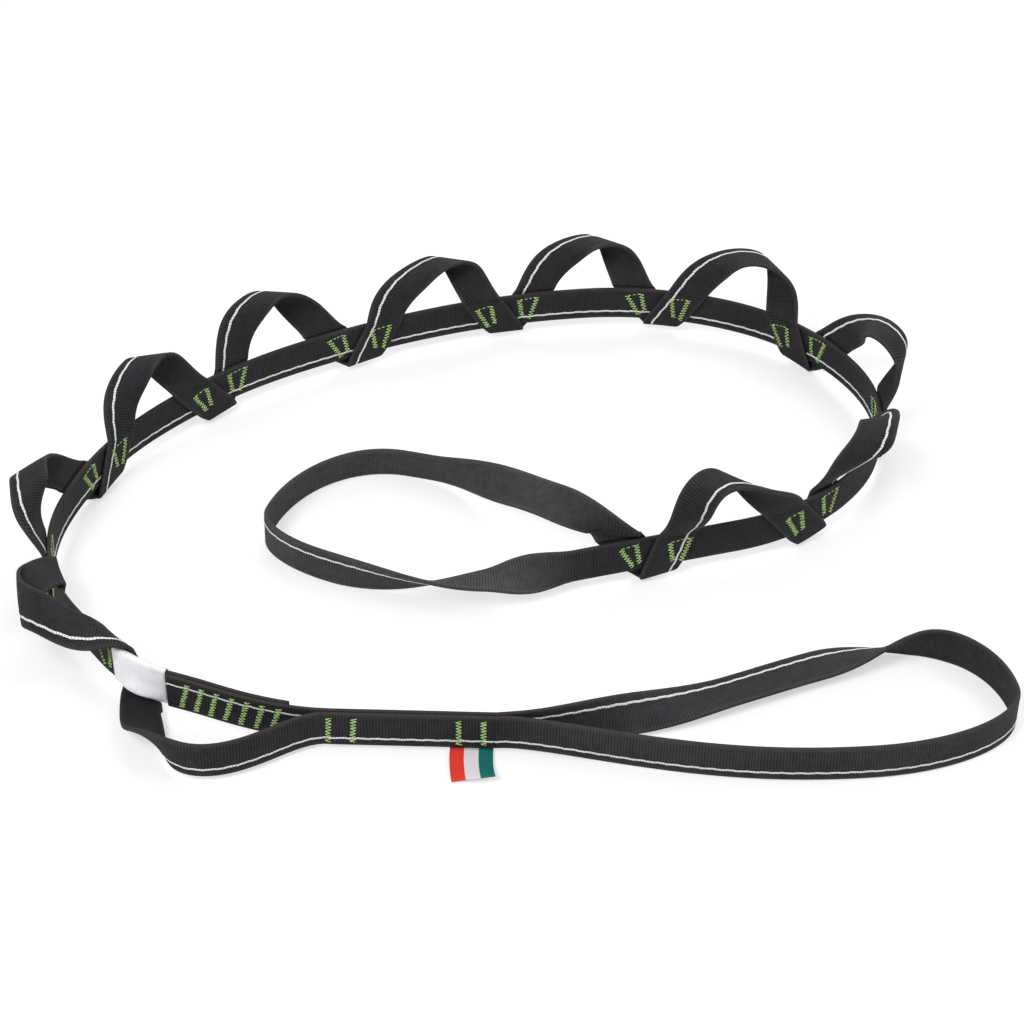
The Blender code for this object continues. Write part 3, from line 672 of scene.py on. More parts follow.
@dataclass
class GirthLoop:
    """The girth loop: up from the last fold, over, down to the ground, round the tip and home."""

    length: float = 154.0 * MM
    far_bulge: float = 59.0 * MM
    near_bulge: float = 26.0 * MM
    setback: float = 31.0 * MM
    foot_gap: float = 2.0 * MM
    turn_deg: float = -30.0
    far_shares: tuple[float, float, float] = (0.12, 0.34, 0.68)
    near_shares: tuple[float, float, float] = (0.20, 0.35, 0.60)
    roll: Roll = Roll(
        (
            (0.0, 0.13, 55),
            (0.14, 0.16, -67),
            (0.42, 0.20, 12),
            (0.68, 0.24, 90),
            (0.87, 0.11, 90),
        )
    )
    fan_share: float = 0.12
    blend_clear: float = 7.0 * MM
    blend_length: float = 26.0 * MM
    # How much painted light makes the loop paler, standing in for light falling on it.
    painted_light: float = 1.0

    def strap(self) -> FreeStrap:
        """Lay the loop out.

        Returns:
            Its strap, from its foot at the last fold back to the spine's end.
        """
        crease = CREASES[-1]
        fold = LAYOUT.folds[-1]
        angle = crease.climb(1)
        climb = LAYOUT.forward(fold) * math.cos(angle) + UP * math.sin(angle)
        foot = crease.at(crease.reach(1, self.foot_gap), 0.0)
        root = LAYOUT.beside(fold + self.setback, 0.0, WEB.width / 2)
        ahead = turned_level(LAYOUT.forward(fold), self.turn_deg)
        right = ahead.cross(UP)
        tip = root + ahead * self.length

        leave, reach, wide, rounding = drop_marks(self.length, self.far_shares)
        bulge = right * self.far_bulge
        widest = root + ahead * wide + bulge
        out = bezier(foot, foot + climb * leave, root + ahead * reach + bulge, widest)
        over = bezier(widest, root + ahead * rounding + bulge, tip + bulge * ROUND_SHARE, tip)

        hinge = fold + LAYOUT.girth_hinge_setback + LAYOUT.loop_hinge_gap / 2
        home = LAYOUT.beside(hinge, 0.0, LAYOUT.spine_lift + WEB.width / 2)
        leave, reach, wide, rounding = drop_marks(self.length, self.near_shares)
        bulge = -right * self.near_bulge
        widest = root + ahead * wide + bulge
        back = bezier(tip, tip + bulge * ROUND_SHARE, root + ahead * rounding + bulge, widest)
        arrival = home + LAYOUT.forward(fold) * leave
        last = bezier(widest, root + ahead * reach + bulge, arrival, home)

        def slant(share: float) -> float:
            """How far the rows lean back near the foot."""
            return (1.0 - smooth(share / self.fan_share)) / math.tan(angle)

        return FreeStrap(out + over[1:] + back[1:] + last[1:], self.roll.at, slant)

    def rows(self) -> list[Row]:
        """Line up the loop's rows.

        Returns:
            The rows from the last fold's last row to the spine's end.
        """
        crease = CREASES[-1]
        rows = [row_of(crease.at, crease.reach(1, gap)) for gap in (0.0, self.foot_gap / 2)]
        return rows + self.strap().rows() + [row_of(LAYOUT.spine, LAYOUT.spine_end)]

    def blend_span(self) -> tuple[Vector, Vector]:
        """Find where the loop bends, up and away from the spine's end.

        Returns:
            Where it starts to turn with its body, and where it has turned.
        """
        fold = LAYOUT.folds[-1]
        hinge = LAYOUT.beside(LAYOUT.spine_end, 0.0, LAYOUT.spine_lift + WEB.width / 2)
        foot = CREASES[-1].at(CREASES[-1].reach(1), 0.0)
        ahead = LAYOUT.forward(fold)
        back, rise = (hinge - foot).dot(ahead), foot.z - hinge.z
        away = (ahead * rise + UP * back).normalized()
        start = hinge + away * self.blend_clear
        return start, hinge + away * (self.blend_clear + self.blend_length)


@dataclass
class PlainPocket:
    """The plain pocket: bulges out to the left of the spine, then lies down to pass under it.

    Its plan's middle and handles are shares of the chord, along it and to its left.
    """

    plan_shares: tuple[tuple[float, float], ...] = (
        (0.14, 0.03),
        (0.26, 0.33),
        (0.50, 0.40),
        (0.75, 0.47),
    )
    handle_share: float = 0.17
    settle_share: float = 0.55
    fan_share: float = 0.12
    easing_rounds: int = 20

    def roll(self, share: float) -> float:
        """The strap's roll at a share of its length."""
        run = 1.0 - self.settle_share - self.fan_share / 2
        return -math.pi * (1.0 + smooth((share - self.settle_share) / run) / 2)

    def strap(self) -> FreeStrap:
        """Lay the pocket out.

        Returns:
            Its strap, from the near strand's end to the first fold.
        """
        first = LAYOUT.tack_span + LAYOUT.tack_margin + WEB.join_gap
        start = LAYOUT.beside(first, -2 * WEB.pitch, 0.0)
        crease = CREASES[0]
        end = crease.at(-(crease.plain_setback + WEB.join_gap) / math.sin(crease.angle), 0.0)
        floor = end.z - WEB.thickness / 2
        end.z = 0.0
        chord = end - start
        left = UP.cross(chord)
        leave, swell, middle, home = (
            start + chord * along + left * out for along, out in self.plan_shares
        )
        aim = turned_level(LAYOUT.forward(LAYOUT.folds[0]), -crease.strand_angles_deg[0])
        arrival = aim * (self.handle_share * chord.length)
        settling = bezier(middle, home, end - arrival, end)
        plan = Polyline(bezier(start, leave, swell, middle) + settling[1:])
        points = []
        for point, mark in zip(plan.points, plan.marks):
            share = mark / plan.length
            upright = abs(math.cos(self.roll(share))) * WEB.width / 2
            flat = abs(math.sin(self.roll(share))) * WEB.thickness / 2
            sunk = (floor - LAYOUT.double_lift) * smooth(share / self.settle_share)
            points.append(point + UP * (upright + flat + LAYOUT.double_lift + sunk))

        def slant(share: float) -> float:
            """How far the rows lean near the fold."""
            return smooth((share - 1.0) / self.fan_share + 1.0) / math.tan(crease.angle)

        return FreeStrap(points, self.roll, slant)

    def rows(self) -> list[Row]:
        """Line up the pocket's rows.

        Returns:
            The rows from the near strand's last row to the first fold's first.
        """
        crease = CREASES[0]
        first = row_of(LAYOUT.near, LAYOUT.tack_span + LAYOUT.tack_margin)
        return [first] + self.strap().rows() + [row_of(crease.at, crease.marks()[0])]


class Signal:
    """A socket of a material's nodes, on which arithmetic adds Math nodes."""

    def __init__(self, desk: "NodeDesk", socket: bpy.types.NodeSocket) -> None:
        """Wrap one output socket."""
        self.desk = desk
        self.socket = socket

    def maths(self, operation: str, *values: "Signal | float") -> "Signal":
        """A Math node on these values."""
        inputs = dict(enumerate(values))
        return self.desk.signal("ShaderNodeMath", {"operation": operation}, inputs)

    def __add__(self, other: "Signal | float") -> "Signal":
        """The sum."""
        return self.maths("ADD", self, other)

    def __sub__(self, other: "Signal | float") -> "Signal":
        """The difference."""
        return self.maths("SUBTRACT", self, other)

    def __rsub__(self, other: float) -> "Signal":
        """The difference, the other way round."""
        return self.maths("SUBTRACT", other, self)

    def __mul__(self, other: "Signal | float") -> "Signal":
        """The product."""
        return self.maths("MULTIPLY", self, other)

    def __truediv__(self, other: "Signal | float") -> "Signal":
        """The quotient."""
        return self.maths("DIVIDE", self, other)

    def __abs__(self) -> "Signal":
        """The size without its sign."""
        return self.maths("ABSOLUTE", self)

    __radd__ = __add__
    __rmul__ = __mul__

    def ripple(self, pitch: float, shift: "Signal | float" = 0.0) -> "Signal":
        """Rounded ridges from 0 to 1, one every pitch."""
        return abs(self.maths("SINE", (self / pitch + shift) * math.pi))

    def step(self, start: float, end: float) -> "Signal":
        """Step smoothly.

        Args:
            start: Where the step is still 0.
            end: Where it has reached 1.

        Returns:
            The step.
        """
        settings = {"interpolation_type": "SMOOTHSTEP"}
        return self.desk.signal("ShaderNodeMapRange", settings, {0: self, 1: start, 2: end})


class NodeDesk:
    """The nodes of a material or of the world, and the one way that they are made."""

    def __init__(self, tree: bpy.types.NodeTree) -> None:
        """Work on the nodes of a tree."""
        self.nodes = tree.nodes
        self.links = tree.links

    def feed(self, node: bpy.types.Node, inputs: dict) -> None:
        """Set or link a node's sockets.

        Args:
            node: The node.
            inputs: The value or the signal of each socket, by name or number.
        """
        for key, value in inputs.items():
            socket = node.inputs[key]
            if isinstance(value, Signal):
                self.links.new(value.socket, socket)
            elif isinstance(value, tuple) and socket.type == "RGBA":
                socket.default_value = (*value, 1.0)
            else:
                socket.default_value = value

    def node(self, kind: str, settings: dict, inputs: dict) -> bpy.types.Node:
        """Make a node.

        Args:
            kind: The node's type.
            settings: Its properties, which are set first.
            inputs: The value or the signal of each of its sockets, by name or number.

        Returns:
            The node.
        """
        made = self.nodes.new(kind)
        for name, value in settings.items():
            setattr(made, name, value)
        self.feed(made, inputs)
        return made

    def signal(self, kind: str, settings: dict, inputs: dict, output: "int | str" = 0) -> Signal:
        """Make a node and take one of its outputs."""
        return Signal(self, self.node(kind, settings, inputs).outputs[output])


class MaterialDesk(NodeDesk):
    """The nodes of one material.

    The mix inputs are the numbers of a Mix node's sockets for its share and two colours.
    """

    mix_inputs: tuple[int, int, int] = (0, 6, 7)
    mix_output: int = 2

    def __init__(self, name: str, roughness: float, gloss: float = 0.35) -> None:
        """Start a material with its main shader.

        Args:
            name: The material's name.
            roughness: The roughness, where nothing feeds it.
            gloss: The strength of its reflections.
        """
        self.material = bpy.data.materials.new(name)
        self.material.use_nodes = True
        super().__init__(self.material.node_tree)
        self.shader = self.nodes["Principled BSDF"]
        self.feed(self.shader, {"Roughness": roughness, "Specular IOR Level": gloss})

    def weave(self) -> tuple[Signal, Signal, Signal]:
        """Read where on the cloth a point is.

        Returns:
            The place along the strip and across it, in millimetres, and its share of painted light.
        """
        read = self.signal("ShaderNodeAttribute", {"attribute_name": WEAVE}, {}, "Vector")
        split = self.node("ShaderNodeSeparateXYZ", {}, {0: read})
        return tuple(Signal(self, socket) for socket in split.outputs)

    def noise(self, scale: float, detail: float = 2.0) -> Signal:
        """Spread smooth noise over the object.

        Args:
            scale: How many lumps it has to a metre.
            detail: How many finer layers it has.

        Returns:
            The noise, from 0 to 1.
        """
        place = self.signal("ShaderNodeTexCoord", {}, {}, "Object")
        inputs = {"Vector": place, "Scale": scale, "Detail": detail}
        return self.signal("ShaderNodeTexNoise", {}, inputs)

    def mixed(
        self, share: Signal, first: "Signal | Colour", second: "Signal | Colour"
    ) -> Signal:
        """Mix two colours, the second by its share."""
        inputs = dict(zip(self.mix_inputs, (share, first, second)))
        return self.signal("ShaderNodeMix", {"data_type": "RGBA"}, inputs, self.mix_output)

    def dress(
        self, colour: Signal, roughness: "Signal | None", height: Signal, depth: float
    ) -> None:
        """Feed the main shader.

        Args:
            colour: The base colour.
            roughness: The roughness, or None where it stays as it was set.
            height: The relief, from 0 to 1.
            depth: How deep the relief is, in metres.
        """
        relief = {"Strength": 1.0, "Distance": depth, "Height": height}
        self.feed(self.shader, {"Base Color": colour})
        if roughness is not None:
            self.feed(self.shader, {"Roughness": roughness})
        self.feed(self.shader, {"Normal": self.signal("ShaderNodeBump", {}, relief)})


class Finish(Protocol):
    """What every finish can do."""

    def material(self) -> bpy.types.Material:
        """Make the material."""


@dataclass(frozen=True)
class WebbingFinish:
    """Dark charcoal webbing: cross ribs, warp yarns, brownish dotted selvedges and light wear.

    The selvedge and the shoulder that wear has made paler each begin and are full at these places
    across the strip. The paler pair of colours is painted light, for light that falls on the loops.
    The scales, here and in the other finishes, are those of their noise.
    """

    dark: Colour = (0.002, 0.002, 0.003)
    light: Colour = (0.033, 0.032, 0.038)
    # painted light: a paler body colour pair, for light falling on the loops
    painted_lit_dark: Colour = (0.012, 0.011, 0.013)
    painted_lit_light: Colour = (0.082, 0.079, 0.086)
    selvedge: Colour = (0.036, 0.026, 0.021)
    rib_pitch_mm: float = 1.3
    yarn_pitch_mm: float = 0.9
    selvedge_mm: tuple[float, float] = (7.9, 8.8)
    worn_mm: tuple[float, float] = (6.8, 8.2)
    patch_scale: float = 260.0
    broad_scale: float = 38.0
    fuzz_scale: float = 2600.0
    relief: float = 0.22 * MM

    def material(self) -> bpy.types.Material:
        """Make the material.

        Returns:
            The material.
        """
        desk = MaterialDesk("webbing", 0.8, gloss=0.22)
        along, across, painted_light = desk.weave()
        ribs = along.ripple(self.rib_pitch_mm)
        yarns = across.ripple(self.yarn_pitch_mm)
        cloth = ribs * 0.65 + yarns * 0.35
        patches = desk.noise(self.patch_scale, 3.0) * 0.6 + desk.noise(self.broad_scale) * 0.4
        fuzz = desk.noise(self.fuzz_scale)
        edge = abs(across).step(*self.selvedge_mm)
        lightening = abs(across).step(*self.worn_mm) * 0.25
        lightness = cloth * 0.5 + patches * 0.8 + lightening + fuzz * 0.25 - 0.5
        # painted light: the body turns towards the paler pair where the weave's third value is high
        pale = desk.mixed(lightness, self.painted_lit_dark, self.painted_lit_light)
        body = desk.mixed(painted_light, desk.mixed(lightness, self.dark, self.light), pale)
        dots = edge * (along.ripple(self.rib_pitch_mm / 2) * 0.6 + 0.2)
        colour = desk.mixed(dots, body, self.selvedge)
        desk.dress(colour, 0.9 - ribs * 0.18, cloth + fuzz * 0.35, self.relief)
        return desk.material


@dataclass(frozen=True)
class TracerFinish:
    """The off-white tracer yarn that is woven into one face."""

    pale: Colour = (0.66, 0.66, 0.65)
    shade: Colour = (0.25, 0.25, 0.25)
    ply_pitch_mm: float = 1.3
    grime_scale: float = 500.0
    relief: float = 0.15 * MM

    def material(self) -> bpy.types.Material:
        """Make the material.

        Returns:
            The material.
        """
        desk = MaterialDesk("tracer", 0.6)
        along, across, _ = desk.weave()
        plies = along.ripple(self.ply_pitch_mm, across * 0.35)
        grime = desk.noise(self.grime_scale)
        colour = desk.mixed(plies.step(0.0, 0.7) * 0.75 + grime * 0.3, self.shade, self.pale)
        desk.dress(colour, None, plies, self.relief)
        return desk.material


@dataclass(frozen=True)
class ThreadFinish:
    """Lime-green sewing thread with a satin face and twisted plies."""

    light: Colour = (0.44, 0.62, 0.23)
    dark: Colour = (0.13, 0.25, 0.05)
    strand_scale: float = 1500.0
    relief: float = 0.05 * MM

    def material(self) -> bpy.types.Material:
        """Make the material.

        Returns:
            The material.
        """
        desk = MaterialDesk("thread", 0.5)
        strands = desk.noise(self.strand_scale, 3.0)
        colour = desk.mixed(strands.step(0.3, 0.62), self.dark, self.light)
        desk.dress(colour, 0.62 - strands * 0.3, strands, self.relief)
        return desk.material


@dataclass(frozen=True)
class LabelFinish:
    """White coated label tape, left bare: a close satin weave with faint creases."""

    white: Colour = (0.80, 0.79, 0.81)
    grey: Colour = (0.60, 0.58, 0.64)
    yarn_pitches_mm: tuple[float, float] = (0.45, 0.3)
    crease_scale: float = 180.0
    relief: float = 0.30 * MM

    def material(self) -> bpy.types.Material:
        """Make the material.

        Returns:
            The material.
        """
        desk = MaterialDesk("label", 0.5)
        along, across, _ = desk.weave()
        ends, picks = self.yarn_pitches_mm
        weave = along.ripple(ends) * 0.5 + across.ripple(picks) * 0.5
        creases = desk.noise(self.crease_scale, 3.0)
        shade = weave * 0.25 + creases.step(0.45, 0.8) * 0.6
        colour = desk.mixed(shade, self.white, self.grey)
        desk.dress(colour, 0.62 - weave * 0.2, weave * 0.4 + creases, self.relief)
        return desk.material


@dataclass(frozen=True)
class TabFinish:
    """A fine woven tape in three bands: red, white and green."""

    red: Colour = (0.67, 0.036, 0.022)
    white: Colour = (0.66, 0.63, 0.67)
    green: Colour = (0.002, 0.130, 0.115)
    shade: Colour = (0.02, 0.02, 0.02)
    yarn_pitches_mm: tuple[float, float] = (0.42, 0.5)
    bands_mm: tuple[float, float] = (-3.1, 3.1)
    band_blur_mm: float = 0.15
    relief: float = 0.08 * MM

    def material(self) -> bpy.types.Material:
        """Make the material.

        Returns:
            The material.
        """
        desk = MaterialDesk("tab", 0.8, gloss=0.2)
        along, across, _ = desk.weave()
        ends, picks = self.yarn_pitches_mm
        yarns = along.ripple(ends) * 0.5 + across.ripple(picks) * 0.5
        bands = self.green
        for edge, colour in zip(self.bands_mm, (self.white, self.red)):
            share = across.step(edge - self.band_blur_mm, edge + self.band_blur_mm)
            bands = desk.mixed(share, bands, colour)
        shaded = desk.mixed((1.0 - yarns) * 0.35, bands, self.shade)
        desk.dress(shaded, 0.8 - yarns * 0.15, yarns, self.relief)
        return desk.material


class Slot(Enum):
    """The material slots."""

    WEBBING = "webbing"
    THREAD = "thread"
    LABEL = "label"
    TAB = "tab"


def new_object(name: str, data: bpy.types.ID) -> bpy.types.Object:
    """Put a new object in the scene.

    Args:
        name: The object's name.
        data: Its mesh, curve, lamp or camera.

    Returns:
        The object.
    """
    item = bpy.data.objects.new(name, data)
    bpy.context.scene.collection.objects.link(item)
    return item


def grid_faces(
    rows: int, columns: int, closed: bool = False, flipped: bool = False
) -> list[tuple[int, ...]]:
    """Join a grid of points, which are kept row by row, into quads.

    Args:
        rows: How many rows it has.
        columns: How many points each row has.
        closed: Whether each row's last point joins on to its first.
        flipped: Whether the quads face the other way.

    Returns:
        Each quad as the numbers of its points.
    """
    faces = []
    for start in range(0, (rows - 1) * columns, columns):
        for column in range(columns if closed else columns - 1):
            here, beyond = start + column, start + (column + 1) % columns
            quad = (here, beyond, beyond + columns, here + columns)
            faces.append((here, *quad[:0:-1]) if flipped else quad)
    return faces


@dataclass
class Workshop:
    """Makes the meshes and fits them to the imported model."""

    shift: Vector
    materials: dict[Finish, bpy.types.Material] = field(default_factory=dict)

    def finish(self, kind: Finish) -> bpy.types.Material:
        """Find a finish's material, which is made once.

        Args:
            kind: The finish.

        Returns:
            The material.
        """
        if kind not in self.materials:
            self.materials[kind] = kind.material()
        return self.materials[kind]

    def mesh_piece(
        self,
        name: str,
        points: np.ndarray,
        faces: list[tuple[int, ...]],
        weave: np.ndarray,
        finishes: Sequence[Finish],
    ) -> bpy.types.Object:
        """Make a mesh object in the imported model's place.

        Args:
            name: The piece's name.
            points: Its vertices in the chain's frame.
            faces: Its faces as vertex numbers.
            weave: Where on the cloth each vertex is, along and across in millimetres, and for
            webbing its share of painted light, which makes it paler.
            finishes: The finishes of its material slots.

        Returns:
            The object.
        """
        mesh = bpy.data.meshes.new(name)
        mesh.from_pydata((points + np.array(self.shift)).tolist(), [], faces)
        mesh.update()
        mesh.shade_smooth()
        kept = mesh.attributes.new(WEAVE, "FLOAT_VECTOR", "POINT")
        flat = np.zeros((len(points), 3), np.float32)
        flat[:, : weave.shape[1]] = weave
        kept.data.foreach_set("vector", flat.ravel())
        for finish in finishes:
            mesh.materials.append(self.finish(finish))
        return new_object(name, mesh)

    def fit(self, item: bpy.types.Object, node: str, slot: Slot) -> None:
        """Let a piece stand for a CAD node that doesn't move.

        Args:
            item: The piece.
            node: The CAD node.
            slot: The material slot, which is not used.
        """
        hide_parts(node)
        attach(item, "root")
        LOG.info("%s rides on root", item.name)

    def fit_blend(
        self, item: bpy.types.Object, node: str, slot: Slot, span: tuple[Vector, Vector]
    ) -> None:
        """Let a piece stand for a CAD node that moves, and bake its place into its mesh.

        Args:
            item: The piece.
            node: The CAD node, whose body has its name.
            slot: The material slot, which is not used.
            span: Where it starts to turn with its body, and where it has turned, which is moved into
                the model's place and not used further.
        """
        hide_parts(node)
        start, end = (tuple(point + self.shift) for point in span)
        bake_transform(item)
        LOG.info("%s bends from root to %s", item.name, node)


@dataclass
class StripWeaver:
    """Weaves lengths of webbing with round selvedges and a raised tracer yarn on one face."""

    shop: Workshop
    edge_mm: tuple[float, ...] = (8.85, 8.5, 8.0, 7.5, 6.8)
    plain_mm: tuple[float, ...] = (4.0, 1.0, -2.0, -5.0)
    tracer_shares: tuple[float, ...] = (-0.5, -0.28, 0.0, 0.28, 0.5)
    tracer_rises: tuple[float, ...] = (0.0, 0.75, 1.0, 0.75, 0.0)
    tracer_clear_mm: tuple[float, float] = (0.9, 1.1)
    sways_mm: tuple[tuple[float, float], ...] = ((0.65, 7.3), (0.35, 2.9))
    easing_rows: float = 6.0
    # How far from a strap's ends its painted light fades out.
    painted_light_fade: float = 35.0 * MM

    def half_thickness(self, across: float) -> float:
        """Work out half the strip's thickness.

        Args:
            across: The place across the strip.

        Returns:
            The half thickness there, which has a shallow groove beside each round selvedge.
        """
        side = abs(across)
        rounding = max(side - (WEB.width / 2 - WEB.selvedge), 0.0) / WEB.selvedge
        groove = WEB.groove * math.exp(-(((side - WEB.groove_place) / WEB.groove_width) ** 2))
        return (WEB.thickness / 2 - groove) * math.sqrt(max(1.0 - rounding**2, 0.0))

    def ring(self) -> tuple[list[float], list[float], list[int]]:
        """Place the columns round the strip's section, first those of the face with the tracer.

        Returns:
            Each column's place across, its half thickness, which is negative on the back, and the
            numbers of the tracer's columns.
        """
        edges = [side * MM for side in self.edge_mm] + [-side * MM for side in self.edge_mm]
        middle = WEB.tracer_share * WEB.width
        tracer = [middle + share * WEB.tracer_width for share in self.tracer_shares]
        clear, beside = (distance * MM for distance in self.tracer_clear_mm)
        places = edges + [-place * MM for place in self.plain_mm]
        places += [middle - beside, middle + beside]
        face = sorted([place for place in places if abs(place - middle) > clear] + tracer)
        front = [-WEB.width / 2] + face + [WEB.width / 2]
        back = sorted(edges + [place * MM for place in self.plain_mm], reverse=True)
        level = [self.half_thickness(place) for place in front]
        level += [-self.half_thickness(place) for place in back]
        first = front.index(tracer[0])
        columns = list(range(first, first + len(tracer)))
        for column, rise in zip(columns, self.tracer_rises):
            level[column] += WEB.tracer_rise * rise
        return front + back, level, columns

    def eased(self, grid: np.ndarray, rounds: int) -> np.ndarray:
        """Ease the kinks of a strap's grid along it, and keep its end rows.

        Args:
            grid: The points by row and column.
            rounds: How many times each point moves towards its neighbours in the rows beside it.

        Returns:
            The eased points.
        """
        count = len(grid)
        hold = [smooth(min(row, count - 1 - row) / self.easing_rows) for row in range(1, count - 1)]
        hold = np.array(hold)[:, None, None]
        for _ in range(rounds):
            grid[1:-1] += (grid[:-2] + grid[2:] - 2 * grid[1:-1]) / 4 * hold
        return grid

    @staticmethod
    def measured(grid: np.ndarray) -> tuple[np.ndarray, np.ndarray, np.ndarray]:
        """Measure a strap's grid.

        Args:
            grid: The points by row and column.

        Returns:
            The unit normals, and how far along the strap each row's middle and each point lies.
        """
        ahead = np.gradient(grid, axis=0)
        normals = np.cross(ahead, np.gradient(grid, axis=1))
        normals /= np.linalg.norm(normals, axis=2, keepdims=True)
        middle, travel = (values[:, grid.shape[1] // 2] for values in (grid, ahead))
        travel = travel / np.linalg.norm(travel, axis=1, keepdims=True)
        run = np.concatenate(([0.0], np.cumsum(np.linalg.norm(np.diff(middle, axis=0), axis=1))))
        marks = run[:, None] + np.einsum("rck,rk->rc", grid - middle[:, None], travel)
        return normals, run, marks

    def strap(
        self, name: str, rows: list[Row], easing_rounds: int = 0, painted_light: float = 0.0
    ) -> bpy.types.Object:
        """Weave one length.

        Args:
            name: The piece's name.
            rows: Its rows in the order in which the strip runs.
            easing_rounds: How many rounds of easing its grid gets.
            painted_light: How much painted light makes it paler, from 0 to 1, which fades out at its
                ends.

        Returns:
            The object, with its tracer as its second material.
        """
        steps = WEB.base_columns
        base = [WEB.width * (column / steps - 0.5) for column in range(steps + 1)]
        grid = np.array([[tuple(row(across)) for across in base] for row in rows])
        grid = self.eased(grid, easing_rounds)
        normals, run, marks = self.measured(grid)

        across, level, tracer = self.ring()
        ring = len(across)
        place = np.tile(np.array(across), (len(rows), 1))
        sway = sum(size * np.sin(2 * math.pi * run / (pitch * MM)) for size, pitch in self.sways_mm)
        place[:, tracer] += (WEB.tracer_sway * sway)[:, None]
        share = np.clip((place / WEB.width + 0.5) * steps, 0.0, steps)
        left = np.minimum(share.astype(int), steps - 1)
        part = share - left
        number = np.arange(len(rows))[:, None]

        def between(values: np.ndarray) -> np.ndarray:
            """The columns' values, from those of the plain grid."""
            shares = part.reshape(part.shape + (1,) * (values.ndim - 2))
            return values[number, left] * (1.0 - shares) + values[number, left + 1] * shares

        points = between(grid) + between(normals) * np.array(level)[None, :, None]
        # painted light: paler along a lit length, fading out towards its ends
        ends = [smooth(min(here, run[-1] - here) / self.painted_light_fade) for here in run]
        lightening = painted_light * np.array(ends)[:, None] * np.ones(ring)
        weave = np.stack((between(marks) / MM, place / MM, lightening), axis=2).reshape(-1, 3)

        faces = grid_faces(len(rows), ring, closed=True, flipped=True)
        last = (len(rows) - 1) * ring
        faces += [tuple(range(ring)), tuple(range(last + ring - 1, last - 1, -1))]
        finishes = (WebbingFinish(), TracerFinish())
        item = self.shop.mesh_piece(name, points.reshape(-1, 3), faces, weave, finishes)
        index = np.zeros(len(faces), np.int32)
        quads = index[:-2].reshape(-1, ring)
        quads[:, tracer[0] : tracer[-1]] = 1
        item.data.polygons.foreach_set("material_index", index)
        for polygon in list(item.data.polygons)[-2:]:
            polygon.use_smooth = False
        return item


@dataclass
class Straps:
    """All lengths of the strip, each standing for its CAD node."""

    weaver: StripWeaver

    def build(self) -> None:
        """Weave the whole strip: its first lengths, the folds, the pockets and its last lengths."""
        end, plain, girth = EndLoop(), PlainPocket(), GirthLoop()
        self.straight("tail_strap", LAYOUT.tail, LAYOUT.splice_end, LAYOUT.tail_root)
        self.moving("end_loop", end.rows(), end.blend_span(), painted_light=end.painted_light)
        pocket_root = LAYOUT.tack_span + LAYOUT.tack_margin
        self.straight("doubled_strap", LAYOUT.near, LAYOUT.tail_root, pocket_root)
        self.fixed("plain_pocket", plain.rows(), plain.easing_rounds)
        for number, crease in enumerate(CREASES, start=1):
            self.fixed(f"fold_{number:02d}", [row_of(crease.at, mark) for mark in crease.marks()])
        for number in range(LAYOUT.pocket_count):
            pocket = ArchedPocket(number)
            rows, span = pocket.rows(), pocket.blend_span()
            self.moving(f"pocket_{number + 1:02d}", rows, span, pocket.easing_rounds)
        self.moving("girth_loop", girth.rows(), girth.blend_span(), painted_light=girth.painted_light)
        self.straight("spine_strap", LAYOUT.spine, LAYOUT.spine_end, LAYOUT.splice_start)

    def fixed(self, name: str, rows: list[Row], easing_rounds: int = 0) -> None:
        """Weave a length that doesn't move."""
        item = self.weaver.strap(name + "_cloth", rows, easing_rounds)
        self.weaver.shop.fit(item, name, Slot.WEBBING)

    def straight(self, name: str, place: Place, start: float, end: float) -> None:
        """Weave a length that lies along the spine."""
        marks = even_marks(start, end, WEB.step)
        self.fixed(name, [row_of(place, mark) for mark in marks])

    def moving(
        self,
        name: str,
        rows: list[Row],
        span: tuple[Vector, Vector],
        easing_rounds: int = 0,
        painted_light: float = 0.0,
    ) -> None:
        """Weave a length for a CAD node that moves, and hand it to fit_blend with its span."""
        item = self.weaver.strap(name + "_cloth", rows, easing_rounds, painted_light)
        self.weaver.shop.fit_blend(item, name, Slot.WEBBING, span)


